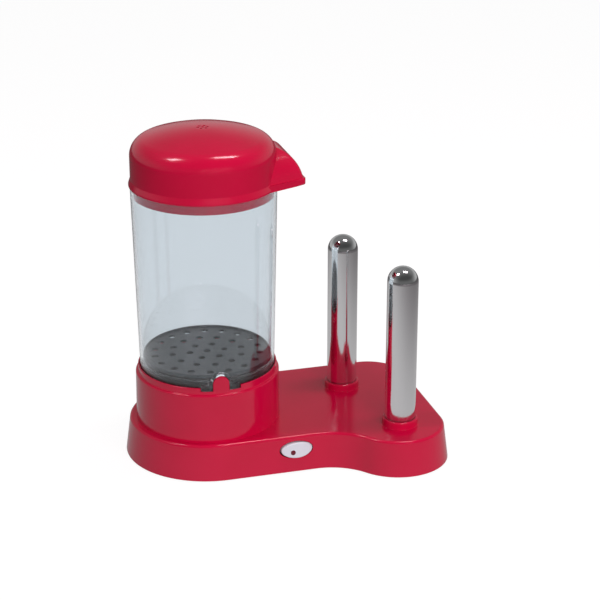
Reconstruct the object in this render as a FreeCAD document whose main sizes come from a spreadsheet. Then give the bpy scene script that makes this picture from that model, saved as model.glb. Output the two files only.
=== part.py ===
import FreeCAD, Part
import math
import os

import Sketcher
from FreeCAD import Placement, Rotation, Vector

# A hot dog toaster: a red base carries a round pedestal with a water dish, a clear steaming container
# with a domed lid stands on the pedestal, and two heated metal spikes stand beside it.
# Millimetres. +Z is up, +X runs from the container to the spikes, and -Y is the front with the switch.
# The origin is on the container's axis, at the level of the table.

SIZES = {
    # Base moulding. Its plan is a left lobe, a waist and a nose in front, a right edge and a back corner.
    "foot_stand": 1.2,
    "base_height": 30.0,
    "base_wall": 2.6,
    "base_flare": 4.0,
    "base_round": 2.0,
    "lobe_margin": 5.5,
    "right_reach": 184.7,
    "nose_radius": 39.1,
    "nose_setback": 61.6,
    "waist_radius": 50.7,
    "back_corner_radius": 32.6,
    # Pedestal with the well that the container stands in
    "well_radius": 56.0,
    "well_depth": 6.8,
    "lip_wall": 1.3,
    "lip_height": 5.8,
    "lip_cove": 0.7,
    "ledge_outside_width": 2.0,
    "pedestal_draft": 0.5,
    "pedestal_height": 41.3,
    "pedestal_round": 1.2,
    "seat_width": 9.0,
    # Key tab on the lip, and the container's notch and bead round it
    "key_offset": -1.8,
    "key_width": 13.3,
    "key_height": 9.6,
    "key_gap": 0.7,
    "bead_width": 2.8,
    "bead_proud": 2.1,
    "bead_foot_length": 8.4,
    "bead_foot_height": 5.0,
    "bead_foot_drop": 2.9,
    # Clear container
    "container_foot_gap": 0.65,
    "container_flare": 3.55,
    "container_height": 160.85,
    "container_wall": 2.2,
    "ledge_level": 13.7,
    "ledge_width": 3.4,
    "ledge_thickness": 2.0,
    # Perforated steam tray
    "tray_gap": 0.5,
    "tray_thickness": 1.8,
    "tray_rim_height": 3.2,
    "tray_rim_wall": 1.5,
    "tray_hole_radius": 3.0,
    "tray_ring_pitch": 14.5,
    # Lid
    "lid_overhang": 1.1,
    "lid_lip_height": 1.5,
    "lid_flare_height": 4.5,
    "lid_side_setback": 0.4,
    "lid_side_height": 23.0,
    "lid_shoulder_radius": 17.0,
    "lid_crown_radius": 152.0,
    "lid_wall": 2.2,
    "skirt_gap": 0.5,
    "skirt_depth": 8.0,
    "skirt_wall": 1.6,
    "vent_hole_radius": 1.2,
    "vent_circle_radius": 3.9,
    # Scoop-shaped grip of the lid
    "grip_length": 18.6,
    "grip_tip_half_width": 26.3,
    "grip_taper": 0.4,
    "grip_rise": 29.0,
    "grip_run": 25.7,
    "grip_arch_rise": 29.6,
    "grip_wall": 2.0,
    "grip_round": 2.0,
    "brim_height": 5.5,
    "brim_proud": 1.4,
    "brim_side_proud": 0.8,
    # Heating dish and what holds it
    "gasket_thickness": 1.2,
    "dish_flange_gap": 0.55,
    "dish_wall": 1.2,
    "dish_gap": 0.8,
    "dish_draft": 2.0,
    "dish_depth": 20.0,
    "dish_round": 3.0,
    "stud_radius": 2.5,
    "stud_length": 17.2,
    "ring_inset": 6.0,
    "ring_tube_radius": 3.3,
    "ring_gap_angle": 40.0,
    "ring_end_length": 12.0,
    "bridge_width": 20.0,
    "bridge_thickness": 1.5,
    "bridge_leg_gap": 1.2,
    "bridge_foot": 5.3,
    "nut_radius": 4.6,
    "nut_height": 4.0,
    "fit_gap": 0.05,
    # Thermostat and thermal fuse
    "thermostat_radius": 8.5,
    "thermostat_height": 8.2,
    "thermostat_offset": 16.5,
    "thermostat_tab": 5.0,
    "spring_height": 1.8,
    "fuse_radius": 2.6,
    "fuse_length": 24.0,
    # Spikes and their heaters
    "front_spike_x": 147.5,
    "front_spike_y": -64.4,
    "back_spike_x": 123.4,
    "back_spike_y": 20.7,
    "spike_radius": 12.7,
    "spike_wall": 1.0,
    "spike_neck": 0.3,
    "spike_neck_rise": 0.8,
    "spike_height": 138.0,
    "spike_flange_radius": 17.0,
    "spike_flange_thickness": 1.2,
    "collar_radius": 14.4,
    "collar_flare": 0.6,
    "collar_height": 6.0,
    "collar_gap": 0.15,
    "rod_heater_radius": 5.0,
    "rod_heater_length": 122.0,
    "rod_heater_drop": 3.4,
    "pin_radius": 0.8,
    "pin_length": 5.0,
    "bush_length": 12.0,
    "bush_gap": 0.2,
    "retainer_width": 20.0,
    "retainer_length": 54.0,
    "retainer_thickness": 2.0,
    "retainer_hole_radius": 7.0,
    "retainer_screw_offset": 22.5,
    # Rocker switch
    "switch_x": 57.9,
    "switch_drop": 11.5,
    "rocker_half_length": 13.5,
    "rocker_half_width": 6.9,
    "rocker_gap": 0.75,
    "rocker_crest": 2.8,
    "rocker_crown_radius": 36.0,
    "rocker_skirt": 4.0,
    "rocker_tilt": 6.0,
    "pivot_depth": 5.0,
    "pivot_pin_radius": 1.0,
    "hub_radius": 2.4,
    "hub_length": 12.0,
    "nib_length": 5.5,
    "nib_radius": 1.5,
    "lens_radius": 1.85,
    "lens_side": -3.7,
    "lens_drop": -1.9,
    "lens_length": 2.35,
    "switch_box_length": 34.0,
    "switch_box_width": 18.0,
    "switch_box_depth": 14.0,
    "switch_box_wall": 1.9,
    "blade_width": 4.8,
    "blade_thickness": 0.8,
    "blade_length": 8.0,
    "blade_pitch": 9.0,
    "lamp_radius": 2.0,
    "lamp_length": 8.0,
    # Mains entry
    "gland_x": 70.0,
    "gland_height": 14.0,
    "gland_radius": 6.0,
    "gland_flange_radius": 8.0,
    "gland_flange": 2.2,
    "gland_tail": 5.0,
    "gland_lug": 0.9,
    "gland_bore_radius": 3.6,
    "clamp_y": 50.0,
    "clamp_length": 26.0,
    "clamp_width": 8.0,
    "clamp_height": 10.0,
    "clamp_channel": 8.0,
    "clamp_floor": 3.0,
    "clamp_screw_offset": 9.0,
    "terminal_x": 72.0,
    "terminal_y": 22.0,
    "terminal_length": 36.0,
    "terminal_width": 16.0,
    "terminal_height": 13.0,
    "terminal_pitch": 11.0,
    "terminal_well": 3.0,
    # Bottom cover, feet and fasteners
    "cover_recess": 0.6,
    "cover_thickness": 2.0,
    "cover_gap": 0.4,
    "vent_slot_length": 26.0,
    "vent_slot_width": 2.4,
    "vent_slot_pitch": 6.0,
    "foot_radius": 8.0,
    "foot_stem_radius": 2.9,
    "foot_barb_radius": 4.0,
    "foot_barb_height": 1.8,
    "foot_left_inset": 11.6,
    "foot_right_x": 158.0,
    "foot_front_y": -80.0,
    "foot_back_y": 42.0,
    "boss_radius": 4.0,
    "boss_left_inset": 3.8,
    "boss_middle_x": 28.0,
    "boss_middle_inset": 8.8,
    "boss_right_x": 168.0,
    "boss_back_y": 16.0,
    "boss_front_y": -36.0,
    "screw_radius": 1.5,
    "screw_head_radius": 3.0,
    "screw_head_height": 1.4,
    "screw_gap": 0.05,
    "cover_screw_length": 12.0,
    "retainer_screw_length": 4.6,
    "clamp_screw_length": 16.0,
    "terminal_screw_radius": 2.0,
    "terminal_screw_height": 2.0,
}

doc = FreeCAD.newDocument("HotDogToaster")
sheet = doc.addObject("Spreadsheet::Sheet", "Sizes")
for row, (alias, number) in enumerate(SIZES.items(), start=1):
    sheet.set(f"A{row}", str(number))
    sheet.setAlias(f"A{row}", alias)
doc.recompute()


class Size:
    """A length or ratio together with the spreadsheet expression that gives it."""

    def __init__(self, number, text):
        self.number = number
        self.text = text

    def __add__(self, other):
        other = sized(other)
        return Size(self.number + other.number, f"({self.text} + {other.text})")

    def __sub__(self, other):
        other = sized(other)
        return Size(self.number - other.number, f"({self.text} - {other.text})")

    def __mul__(self, other):
        other = sized(other)
        return Size(self.number * other.number, f"({self.text} * {other.text})")

    def __truediv__(self, other):
        other = sized(other)
        return Size(self.number / other.number, f"({self.text} / {other.text})")

    def __neg__(self):
        return Size(-self.number, f"(0 - {self.text})")


def sized(value):
    """A plain number as a Size, so that both mix in sums."""
    return value if isinstance(value, Size) else Size(float(value), repr(float(value)))


def root(value):
    return Size(math.sqrt(value.number), f"sqrt({value.text})")


S = {alias: Size(float(sheet.get(alias)), f"Sizes.{alias}") for alias in SIZES}

NODES = {}

# Sizes that follow from the well, so that everything standing on the pedestal changes with it
S["lip_radius"] = S["well_radius"] + S["lip_wall"]
S["pedestal_radius"] = S["lip_radius"] + S["ledge_outside_width"]
S["left_lobe_radius"] = S["pedestal_radius"] + S["pedestal_draft"] + S["lobe_margin"]
S["seat_opening_radius"] = S["well_radius"] - S["seat_width"]
S["container_foot_radius"] = S["well_radius"] - S["container_foot_gap"]
S["container_top_radius"] = S["container_foot_radius"] + S["container_flare"]
S["gasket_radius"] = S["container_foot_radius"] - S["container_wall"] - S["dish_flange_gap"]
S["dish_bowl_radius"] = S["seat_opening_radius"] - S["dish_gap"] - S["dish_wall"]
S["dish_floor_radius"] = S["dish_bowl_radius"] - S["dish_draft"] - S["dish_round"]
S["ring_radius"] = S["dish_floor_radius"] - S["ring_inset"]
S["bridge_half_span"] = S["seat_opening_radius"] + S["bridge_leg_gap"] + S["bridge_thickness"]
S["lid_lip_radius"] = S["container_top_radius"] + S["lid_overhang"]
S["lid_side_radius"] = S["container_top_radius"] - S["lid_side_setback"]
S["skirt_radius"] = S["container_top_radius"] - S["container_wall"] - S["skirt_gap"]
S["grip_reach"] = S["container_top_radius"] + S["grip_length"]
S["switch_height"] = S["base_height"] - S["switch_drop"]
S["boss_middle_y"] = S["left_lobe_radius"] - S["boss_middle_inset"]
S["boss_left_x"] = S["boss_left_inset"] - S["left_lobe_radius"]
S["foot_left_y"] = (S["left_lobe_radius"] - S["foot_left_inset"]) * root(sized(0.5))
S["foot_left_x"] = -S["foot_left_y"]
MM = {alias: size.number for alias, size in S.items()}

# Levels above the table that several pieces share
EDGE = S["foot_stand"]
TOP = EDGE + S["base_height"]
CEILING = TOP - S["base_wall"]
CREST = TOP + S["pedestal_height"]
LIP_TOP = CREST + S["lip_height"]
SEAT = LIP_TOP - S["well_depth"]
SHELF = SEAT - S["base_wall"]
CONTAINER_TOP = SEAT + S["container_height"]
LEDGE = SEAT + S["ledge_level"]
DISH_RIM = SEAT + S["gasket_thickness"]
DISH_FLOOR = DISH_RIM + S["dish_wall"] - S["dish_depth"]
DISH_UNDERSIDE = DISH_FLOOR - S["dish_wall"]
COVER_UNDERSIDE = EDGE + S["cover_recess"]
COVER_TOP = COVER_UNDERSIDE + S["cover_thickness"]
SPIKE_FLANGE = CEILING - S["spike_flange_thickness"]
RETAINER = SPIKE_FLANGE - S["retainer_thickness"]
SPIKE_TIP = TOP + S["spike_height"]
BRIDGE_TOP = DISH_UNDERSIDE - S["thermostat_height"] - S["spring_height"] - S["fit_gap"]
BRIDGE = BRIDGE_TOP - S["bridge_thickness"]
WALL_LEAN = S["base_flare"] / S["base_height"]
GLAND_Y = S["left_lobe_radius"] + S["base_flare"] - WALL_LEAN * S["gland_height"]
CORD_AT_CLAMP = EDGE + S["gland_height"] - (GLAND_Y - S["clamp_y"]) * WALL_LEAN
CLAMP = CORD_AT_CLAMP - S["gland_bore_radius"] - S["clamp_floor"]
CONTAINER_TAPER = (S["container_top_radius"] - S["container_foot_radius"]) / S["container_height"]


def keep(label, item):
    """Marks an object as one finished piece, written to its own file."""
    item.Label = label
    NODES[label] = item
    return item


def bind(item, **sizes):
    """Ties properties of an object to the spreadsheet."""
    for prop, value in sizes.items():
        item.setExpression(prop, sized(value).text)
    return item


def put(item, x, y, z):
    """Ties an object's place to the spreadsheet."""
    for axis, value in zip("xyz", (x, y, z)):
        item.setExpression(f"Placement.Base.{axis}", sized(value).text)
    return item


def rod(name, radius, length, x, y, z, direction=Vector(0, 0, 1)):
    """A round bar from a point along a direction."""
    item = bind(doc.addObject("Part::Cylinder", name), Radius=radius, Height=length)
    item.Placement = Placement(Vector(), Rotation(Vector(0, 0, 1), direction))
    return put(item, x, y, z)


def block(name, length, width, height, x, y, z):
    """A rectangular block centred on x and y, standing on z."""
    item = bind(doc.addObject("Part::Box", name), Length=length, Width=width, Height=height)
    return put(item, sized(x) - sized(length) / 2, sized(y) - sized(width) / 2, z)


def joined(name, items):
    item = doc.addObject("Part::MultiFuse", name)
    item.Shapes = items
    return item


def cut(name, base, tools):
    """A solid less one or more tools."""
    item = doc.addObject("Part::Cut", name)
    item.Base = base
    item.Tool = tools[0] if len(tools) == 1 else joined(f"{name}_tools", tools)
    return item


def group(name, items):
    item = doc.addObject("Part::Compound", name)
    item.Links = items
    return item


def shaped(name, shape, place=Placement()):
    """A piece whose form no primitive or sketch feature gives."""
    item = doc.addObject("Part::Feature", name)
    item.Shape = shape
    item.Placement = place
    return item


def pin_point(sketch, edge, end, x, y):
    """Ties one end of a sketch edge to its distances from the sketch's origin."""
    for kind, axis, value in (("DistanceX", -2, sized(x)), ("DistanceY", -1, sized(y))):
        if value.number == 0:
            sketch.addConstraint(Sketcher.Constraint("PointOnObject", edge, end, axis))
        else:
            made = sketch.addConstraint(Sketcher.Constraint(kind, -1, 1, edge, end, value.number))
            sketch.setExpression(f"Constraints[{made}]", value.text)


def bent_edge(start, finish, bend):
    """An arc between two points; a positive radius turns left, a negative one right."""
    chord = finish - start
    radius = abs(bend)
    away = Vector(-chord.y, chord.x, 0).normalize() * math.copysign(1, bend)
    centre = (start + finish) * 0.5 + away * math.sqrt(max(radius**2 - chord.Length**2 / 4, 0))
    first, last = (start, finish) if bend > 0 else (finish, start)
    begin = math.atan2(first.y - centre.y, first.x - centre.x)
    end = math.atan2(last.y - centre.y, last.x - centre.x)
    if end < begin:
        end += 2 * math.pi
    return Part.ArcOfCircle(Part.Circle(centre, Vector(0, 0, 1), radius), begin, end)


def draw(sketch, corners):
    """A closed outline. Each corner is (x, y) or (x, y, radius of the arc to the next corner)."""
    points = [Vector(sized(corner[0]).number, sized(corner[1]).number, 0) for corner in corners]
    ends = []
    for index, corner in enumerate(corners):
        start, finish = points[index], points[(index + 1) % len(points)]
        bend = sized(corner[2]) if len(corner) > 2 else None
        edge = bent_edge(start, finish, bend.number) if bend else Part.LineSegment(start, finish)
        made = sketch.addGeometry(edge, False)
        ends.append((made, 2, 1) if bend and bend.number < 0 else (made, 1, 2))
        if bend:
            radius = bend if bend.number > 0 else -bend
            tie = sketch.addConstraint(Sketcher.Constraint("Radius", made, radius.number))
            sketch.setExpression(f"Constraints[{tie}]", radius.text)
    for index, corner in enumerate(corners):
        edge, first, _ = ends[index]
        before, _, last = ends[index - 1]
        sketch.addConstraint(Sketcher.Constraint("Coincident", before, last, edge, first))
        pin_point(sketch, edge, first, corner[0], corner[1])


def new_sketch(body, role, name):
    sketch = body.newObject("Sketcher::SketchObject", name)
    plane = [item for item in body.Origin.OriginFeatures if item.Role == role][0]
    sketch.AttachmentSupport = [(plane, "")]
    sketch.MapMode = "FlatFace"
    return sketch


def turned(name, corners):
    """A body turned about the vertical axis from an outline of (radius, height) corners."""
    body = doc.addObject("PartDesign::Body", name)
    sketch = new_sketch(body, "XZ_Plane", f"{name}_outline")
    draw(sketch, corners)
    turn = body.newObject("PartDesign::Revolution", f"{name}_turn")
    turn.Profile = sketch
    turn.ReferenceAxis = (sketch, ["V_Axis"])
    turn.Angle = 360
    body.Tip = turn
    return body


def screw(name, length, x, y, z):
    """A pan-head screw driven upwards; z is where its head bears."""
    head = rod(f"{name}_head", S["screw_head_radius"], S["screw_head_height"], x, y,
               sized(z) - S["screw_head_height"])
    shank = rod(f"{name}_shank", S["screw_radius"], length, x, y, z)
    return joined(name, [head, shank])


def screw_hole(name, length, x, y, z):
    return rod(name, S["screw_radius"] + S["screw_gap"], length, x, y, z)


# Base plan and the drafted solids that follow it


def arc(centre, radius, begin, end):
    """An edge round a centre between two angles in degrees."""
    points = []
    for angle in (begin, (begin + end) / 2, end):
        turn = math.radians(angle)
        points.append(centre + Vector(radius * math.cos(turn), radius * math.sin(turn), 0))
    return Part.Arc(*points).toShape()


def plan_wire(grow, level):
    """The base's plan at a level, grown outwards by some millimetres."""
    lobe = MM["left_lobe_radius"]
    right = MM["right_reach"]
    nose = Vector(right - MM["nose_radius"], -MM["nose_setback"], level)
    waist_y = -lobe - MM["waist_radius"]
    span = MM["nose_radius"] + MM["waist_radius"]
    waist = Vector(nose.x - math.sqrt(span**2 - (nose.y - waist_y) ** 2), waist_y, level)
    corner = Vector(right - MM["back_corner_radius"], lobe - MM["back_corner_radius"], level)
    meeting = math.degrees(math.atan2(nose.y - waist.y, nose.x - waist.x))
    left = Vector(0, 0, level)
    edges = [
        arc(left, lobe + grow, 90, 270),
        Part.LineSegment(Vector(0, -lobe - grow, level), Vector(waist.x, -lobe - grow, level)).toShape(),
        arc(waist, MM["waist_radius"] - grow, 90, meeting),
        arc(nose, MM["nose_radius"] + grow, meeting + 180, 360),
        Part.LineSegment(Vector(right + grow, nose.y, level), Vector(right + grow, corner.y, level)).toShape(),
        arc(corner, MM["back_corner_radius"] + grow, 0, 90),
        Part.LineSegment(Vector(corner.x, lobe + grow, level), Vector(0, lobe + grow, level)).toShape(),
    ]
    return Part.Wire(edges)


def drafted(low, high, inset):
    """A solid between two levels whose side leans as the base's wall does."""
    wires = []
    for level in (low, high):
        lean = MM["base_flare"] * (1 - (level - EDGE.number) / MM["base_height"])
        wires.append(plan_wire(lean - inset, level))
    return Part.makeLoft(wires, True, True)


def wall_place(x, height, side):
    """Where a fitting sits on the leaning front (side -1) or back (side 1) wall, its Z pointing outwards."""
    lean = MM["base_flare"] * (1 - height / MM["base_height"])
    point = Vector(x, side * (MM["left_lobe_radius"] + lean), EDGE.number + height)
    tilt = math.degrees(math.atan2(MM["base_height"], MM["base_flare"]))
    return Placement(point, Rotation(Vector(1, 0, 0), -side * tilt))


FRONT_WALL = wall_place(MM["switch_x"], MM["switch_height"], -1)
BACK_WALL = wall_place(MM["gland_x"], MM["gland_height"], 1)


def oval(half_length, half_width, low, high):
    """An upright prism with an elliptical plan."""
    ellipse = Part.Ellipse(Vector(0, 0, low), half_length, half_width)
    face = Part.Face(Part.Wire(ellipse.toShape()))
    return face.extrude(Vector(0, 0, high - low))


SPIKES = {
    "front": (S["front_spike_x"], S["front_spike_y"]),
    "back": (S["back_spike_x"], S["back_spike_y"]),
}
COVER_SCREWS = {
    "left": (S["boss_left_x"], sized(0)),
    "middle_front": (S["boss_middle_x"], -S["boss_middle_y"]),
    "middle_back": (S["boss_middle_x"], S["boss_middle_y"]),
    "right_front": (S["boss_right_x"], S["boss_front_y"]),
    "right_back": (S["boss_right_x"], S["boss_back_y"]),
}
FEET = {
    "left_front": (S["foot_left_x"], -S["foot_left_y"]),
    "left_back": (S["foot_left_x"], S["foot_left_y"]),
    "right_front": (S["foot_right_x"], S["foot_front_y"]),
    "right_back": (S["foot_right_x"], S["foot_back_y"]),
}


def retainer_screw_places():
    for side, (x, y) in SPIKES.items():
        for end, offset in (("near", -S["retainer_screw_offset"]), ("far", S["retainer_screw_offset"])):
            yield f"{side}_{end}", x, y + offset


def clamp_screw_places():
    for end, offset in (("left", -S["clamp_screw_offset"]), ("right", S["clamp_screw_offset"])):
        yield end, S["gland_x"] + offset, S["clamp_y"]


def arch(half_width, low, high, depth):
    """A round-topped upright slab in front of the container's axis, as wide as twice half_width."""
    centre = MM["key_offset"]
    shoulder = high - half_width
    edges = [
        Part.LineSegment(Vector(centre - half_width, 0, low), Vector(centre + half_width, 0, low)),
        Part.LineSegment(Vector(centre + half_width, 0, low), Vector(centre + half_width, 0, shoulder)),
        Part.Arc(Vector(centre + half_width, 0, shoulder), Vector(centre, 0, high),
                 Vector(centre - half_width, 0, shoulder)),
        Part.LineSegment(Vector(centre - half_width, 0, shoulder), Vector(centre - half_width, 0, low)),
    ]
    face = Part.Face(Part.Wire([edge.toShape() for edge in edges]))
    return face.extrude(Vector(0, -depth, 0))


def ring(inner, outer, low, high):
    """A plain tube about the container's axis."""
    tube = Part.makeCylinder(outer, high - low, Vector(0, 0, low))
    return tube.cut(Part.makeCylinder(inner, high - low, Vector(0, 0, low)))


def feet_span():
    """Half the width that the bead's two feet take on the container."""
    return MM["key_width"] / 2 + MM["key_gap"] + MM["bead_foot_length"]


def key_tab():
    """The round-topped tab that stands on the lip and keeps the container from turning."""
    high = LIP_TOP.number + MM["key_height"]
    slab = arch(MM["key_width"] / 2, CREST.number - 1, high, 2 * MM["well_radius"])
    return slab.common(ring(MM["well_radius"], MM["lip_radius"], CREST.number - 1, high))


def base_shell():
    """The open-bottomed moulding below the pedestal: leaning wall, top and rounded edge."""
    outer = drafted(EDGE.number, TOP.number, 0)
    rim = [edge for edge in outer.Edges if all(abs(v.Z - TOP.number) < 1e-6 for v in edge.Vertexes)]
    outer = outer.makeFillet(MM["base_round"], rim)
    return outer.cut(drafted(EDGE.number - 1, CEILING.number, MM["base_wall"]))


def make_pedestal():
    """The round red moulding welded to the base's top: seat, well, lip, and the key tab in front."""
    wall = S["base_wall"]
    foot = S["pedestal_radius"] + S["pedestal_draft"]
    pedestal = turned("pedestal_ring", [
        (S["seat_opening_radius"], SHELF),
        (S["pedestal_radius"] - wall, SHELF),
        (foot - wall, TOP),
        (foot, TOP),
        (S["pedestal_radius"], CREST - S["pedestal_round"], S["pedestal_round"]),
        (S["pedestal_radius"] - S["pedestal_round"], CREST),
        (S["lip_radius"] + S["lip_cove"], CREST, -S["lip_cove"]),
        (S["lip_radius"], CREST + S["lip_cove"]),
        (S["lip_radius"], LIP_TOP),
        (S["well_radius"], LIP_TOP),
        (S["well_radius"], SEAT),
        (S["seat_opening_radius"], SEAT),
    ])
    recess_low = CREST.number + MM["bead_foot_drop"] - MM["fit_gap"]
    recess = ring(MM["well_radius"] - 1, MM["lip_radius"] + 1, recess_low, LIP_TOP.number + 1)
    span = 2 * (feet_span() + MM["key_gap"])
    side = Vector(MM["key_offset"] - span / 2, -2 * MM["well_radius"], recess_low)
    recess = recess.common(Part.makeBox(span, 2 * MM["well_radius"], MM["lip_height"] * 2, side))
    body = cut("pedestal_body", pedestal, [shaped("foot_recess", recess.cut(key_tab()))])
    keep("pedestal", joined("pedestal", [body, shaped("key_tab", key_tab())]))


def make_housing():
    """The red moulding of the base: shell, spike collars, bosses and openings."""
    wall = S["base_wall"]
    foot = S["pedestal_radius"] + S["pedestal_draft"]
    mouth = rod("pedestal_mouth", foot - wall, S["base_height"] * 2, 0, 0, EDGE)
    solids = [cut("open_shell", shaped("base_shell", base_shell()), [mouth])]
    holes = []
    for side, (x, y) in SPIKES.items():
        bore = S["spike_radius"] - S["spike_neck"] + S["collar_gap"]
        collar = turned(f"collar_{side}", [
            (bore, CEILING),
            (S["collar_radius"] + S["collar_flare"], CEILING),
            (S["collar_radius"] + S["collar_flare"], TOP),
            (S["collar_radius"], TOP + S["collar_height"]),
            (bore, TOP + S["collar_height"]),
        ])
        solids.append(put(collar, x, y, 0))
        holes.append(rod(f"spike_hole_{side}", bore, wall + S["collar_height"], x, y, CEILING))
    for name, x, y in retainer_screw_places():
        solids.append(rod(f"retainer_boss_{name}", S["boss_radius"], wall, x, y, SPIKE_FLANGE))
        holes.append(screw_hole(f"retainer_boss_hole_{name}", S["retainer_screw_length"], x, y, RETAINER))
    for name, (x, y) in COVER_SCREWS.items():
        solids.append(rod(f"cover_boss_{name}", S["boss_radius"], CEILING - COVER_TOP + wall / 2, x, y, COVER_TOP))
        holes.append(screw_hole(f"cover_boss_hole_{name}", S["cover_screw_length"], x, y, COVER_UNDERSIDE))
    clamp_top = CLAMP + S["clamp_height"]
    for name, x, y in clamp_screw_places():
        solids.append(rod(f"clamp_boss_{name}", S["boss_radius"], CEILING - clamp_top + wall / 2, x, y, clamp_top))
        holes.append(screw_hole(f"clamp_boss_hole_{name}", S["clamp_screw_length"], x, y, CLAMP))
    gap = MM["rocker_gap"]
    opening = oval(MM["rocker_half_length"] + gap, MM["rocker_half_width"] + gap,
                   -3 * MM["base_wall"], MM["base_wall"])
    holes.append(shaped("switch_opening", opening, FRONT_WALL))
    entry = Part.makeCylinder(MM["gland_radius"] + MM["screw_gap"], 4 * MM["base_wall"],
                              Vector(0, 0, -3 * MM["base_wall"]))
    holes.append(shaped("gland_opening", entry, BACK_WALL))
    keep("base_housing", cut("base_housing", joined("housing_solids", solids), holes))


def make_cover():
    """The plate that closes the base from below, with vent slots, foot holes and screw holes."""
    plate = shaped("cover_plate", drafted(COVER_UNDERSIDE.number, COVER_TOP.number,
                                          MM["base_wall"] + MM["cover_gap"]))
    holes = []
    for name, (x, y) in COVER_SCREWS.items():
        holes.append(screw_hole(f"cover_hole_{name}", S["cover_thickness"], x, y, COVER_UNDERSIDE))
    for name, (x, y) in FEET.items():
        radius = S["foot_stem_radius"] + S["fit_gap"]
        holes.append(rod(f"foot_hole_{name}", radius, S["cover_thickness"], x, y, COVER_UNDERSIDE))
    for index in range(-3, 4):
        holes.append(block(f"vent_{index + 3}", S["vent_slot_width"], S["vent_slot_length"], S["cover_thickness"],
                           S["vent_slot_pitch"] * index, 0, COVER_UNDERSIDE))
    keep("bottom_cover", cut("bottom_cover", plate, holes))
    screws = [screw(f"cover_screw_{name}", S["cover_screw_length"] - S["fit_gap"], x, y, COVER_UNDERSIDE)
              for name, (x, y) in COVER_SCREWS.items()]
    keep("cover_screws", group("cover_screws", screws))


def make_feet():
    """Push-in rubber feet: a pad on the table, a stem through the cover and a barb above it."""
    chamfer = S["foot_stem_radius"] / 4
    for name, (x, y) in FEET.items():
        foot = turned(f"rubber_foot_{name}", [
            (0, 0),
            (S["foot_radius"] - chamfer, 0),
            (S["foot_radius"], chamfer),
            (S["foot_radius"], COVER_UNDERSIDE),
            (S["foot_stem_radius"], COVER_UNDERSIDE),
            (S["foot_stem_radius"], COVER_TOP),
            (S["foot_barb_radius"], COVER_TOP),
            (S["foot_stem_radius"], COVER_TOP + S["foot_barb_height"]),
            (0, COVER_TOP + S["foot_barb_height"]),
        ])
        keep(f"rubber_foot_{name}", put(foot, x, y, 0))


def make_dish():
    """The coated water dish, its gasket, and the bridge and nut that pull it down on the seat."""
    wall = S["dish_wall"]
    bend = S["dish_round"]
    dish = turned("heating_dish", [
        (0, DISH_UNDERSIDE - S["stud_length"]),
        (S["stud_radius"], DISH_UNDERSIDE - S["stud_length"]),
        (S["stud_radius"], DISH_UNDERSIDE),
        (S["dish_floor_radius"], DISH_UNDERSIDE, bend + wall),
        (S["dish_floor_radius"] + bend + wall, DISH_UNDERSIDE + bend + wall),
        (S["dish_bowl_radius"] + wall, DISH_RIM),
        (S["gasket_radius"], DISH_RIM),
        (S["gasket_radius"], DISH_RIM + wall),
        (S["dish_bowl_radius"], DISH_RIM + wall),
        (S["dish_floor_radius"] + bend, DISH_FLOOR + bend, -bend),
        (S["dish_floor_radius"], DISH_FLOOR),
        (0, DISH_FLOOR),
    ])
    keep("heating_dish", dish)
    keep("dish_gasket", turned("dish_gasket", [
        (S["seat_opening_radius"], SEAT),
        (S["gasket_radius"], SEAT),
        (S["gasket_radius"], DISH_RIM),
        (S["seat_opening_radius"], DISH_RIM),
    ]))
    width, thickness, span = S["bridge_width"], S["bridge_thickness"], S["bridge_half_span"]
    parts = [block("bridge_strap", width, span * 2, thickness, 0, 0, BRIDGE)]
    for end, side in (("front", -1), ("back", 1)):
        leg_y = (span - thickness / 2) * side
        foot_y = (span + S["bridge_foot"] / 2) * side
        parts.append(block(f"bridge_leg_{end}", width, thickness, SHELF - BRIDGE, 0, leg_y, BRIDGE))
        foot = block(f"bridge_foot_{end}", width, S["bridge_foot"] + thickness, thickness, 0,
                     foot_y - thickness / 2 * side, SHELF - thickness)
        parts.append(foot)
    hole = rod("bridge_hole", S["stud_radius"] + S["fit_gap"], thickness, 0, 0, BRIDGE)
    keep("dish_bridge", cut("dish_bridge", joined("bridge_parts", parts), [hole]))
    blank = bind(doc.addObject("Part::Prism", "nut_blank"), Circumradius=S["nut_radius"], Height=S["nut_height"])
    put(blank, 0, 0, BRIDGE - S["nut_height"])
    thread = rod("nut_thread", S["stud_radius"] + S["fit_gap"], S["nut_height"], 0, 0, BRIDGE - S["nut_height"])
    keep("dish_nut", cut("dish_nut", blank, [thread]))


def make_dish_heater():
    """The sheathed ring element under the dish, with its two cold ends turned down."""
    element = bind(doc.addObject("Part::Torus", "ring_element"), Radius1=S["ring_radius"],
                   Radius2=S["ring_tube_radius"], Angle3=sized(360) - S["ring_gap_angle"])
    level = DISH_UNDERSIDE - S["ring_tube_radius"] - S["fit_gap"]
    half_gap = MM["ring_gap_angle"] / 2
    element.Placement = Placement(Vector(), Rotation(Vector(0, 0, 1), half_gap))
    put(element, 0, 0, level)
    parts = [element]
    for end, angle in (("left", half_gap), ("right", -half_gap)):
        turn = math.radians(angle)
        x = S["ring_radius"] * math.cos(turn)
        y = S["ring_radius"] * math.sin(turn)
        parts.append(rod(f"cold_end_{end}", S["ring_tube_radius"], S["ring_end_length"], x, y,
                         level - S["ring_end_length"]))
    keep("dish_heater", joined("dish_heater", parts))


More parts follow.
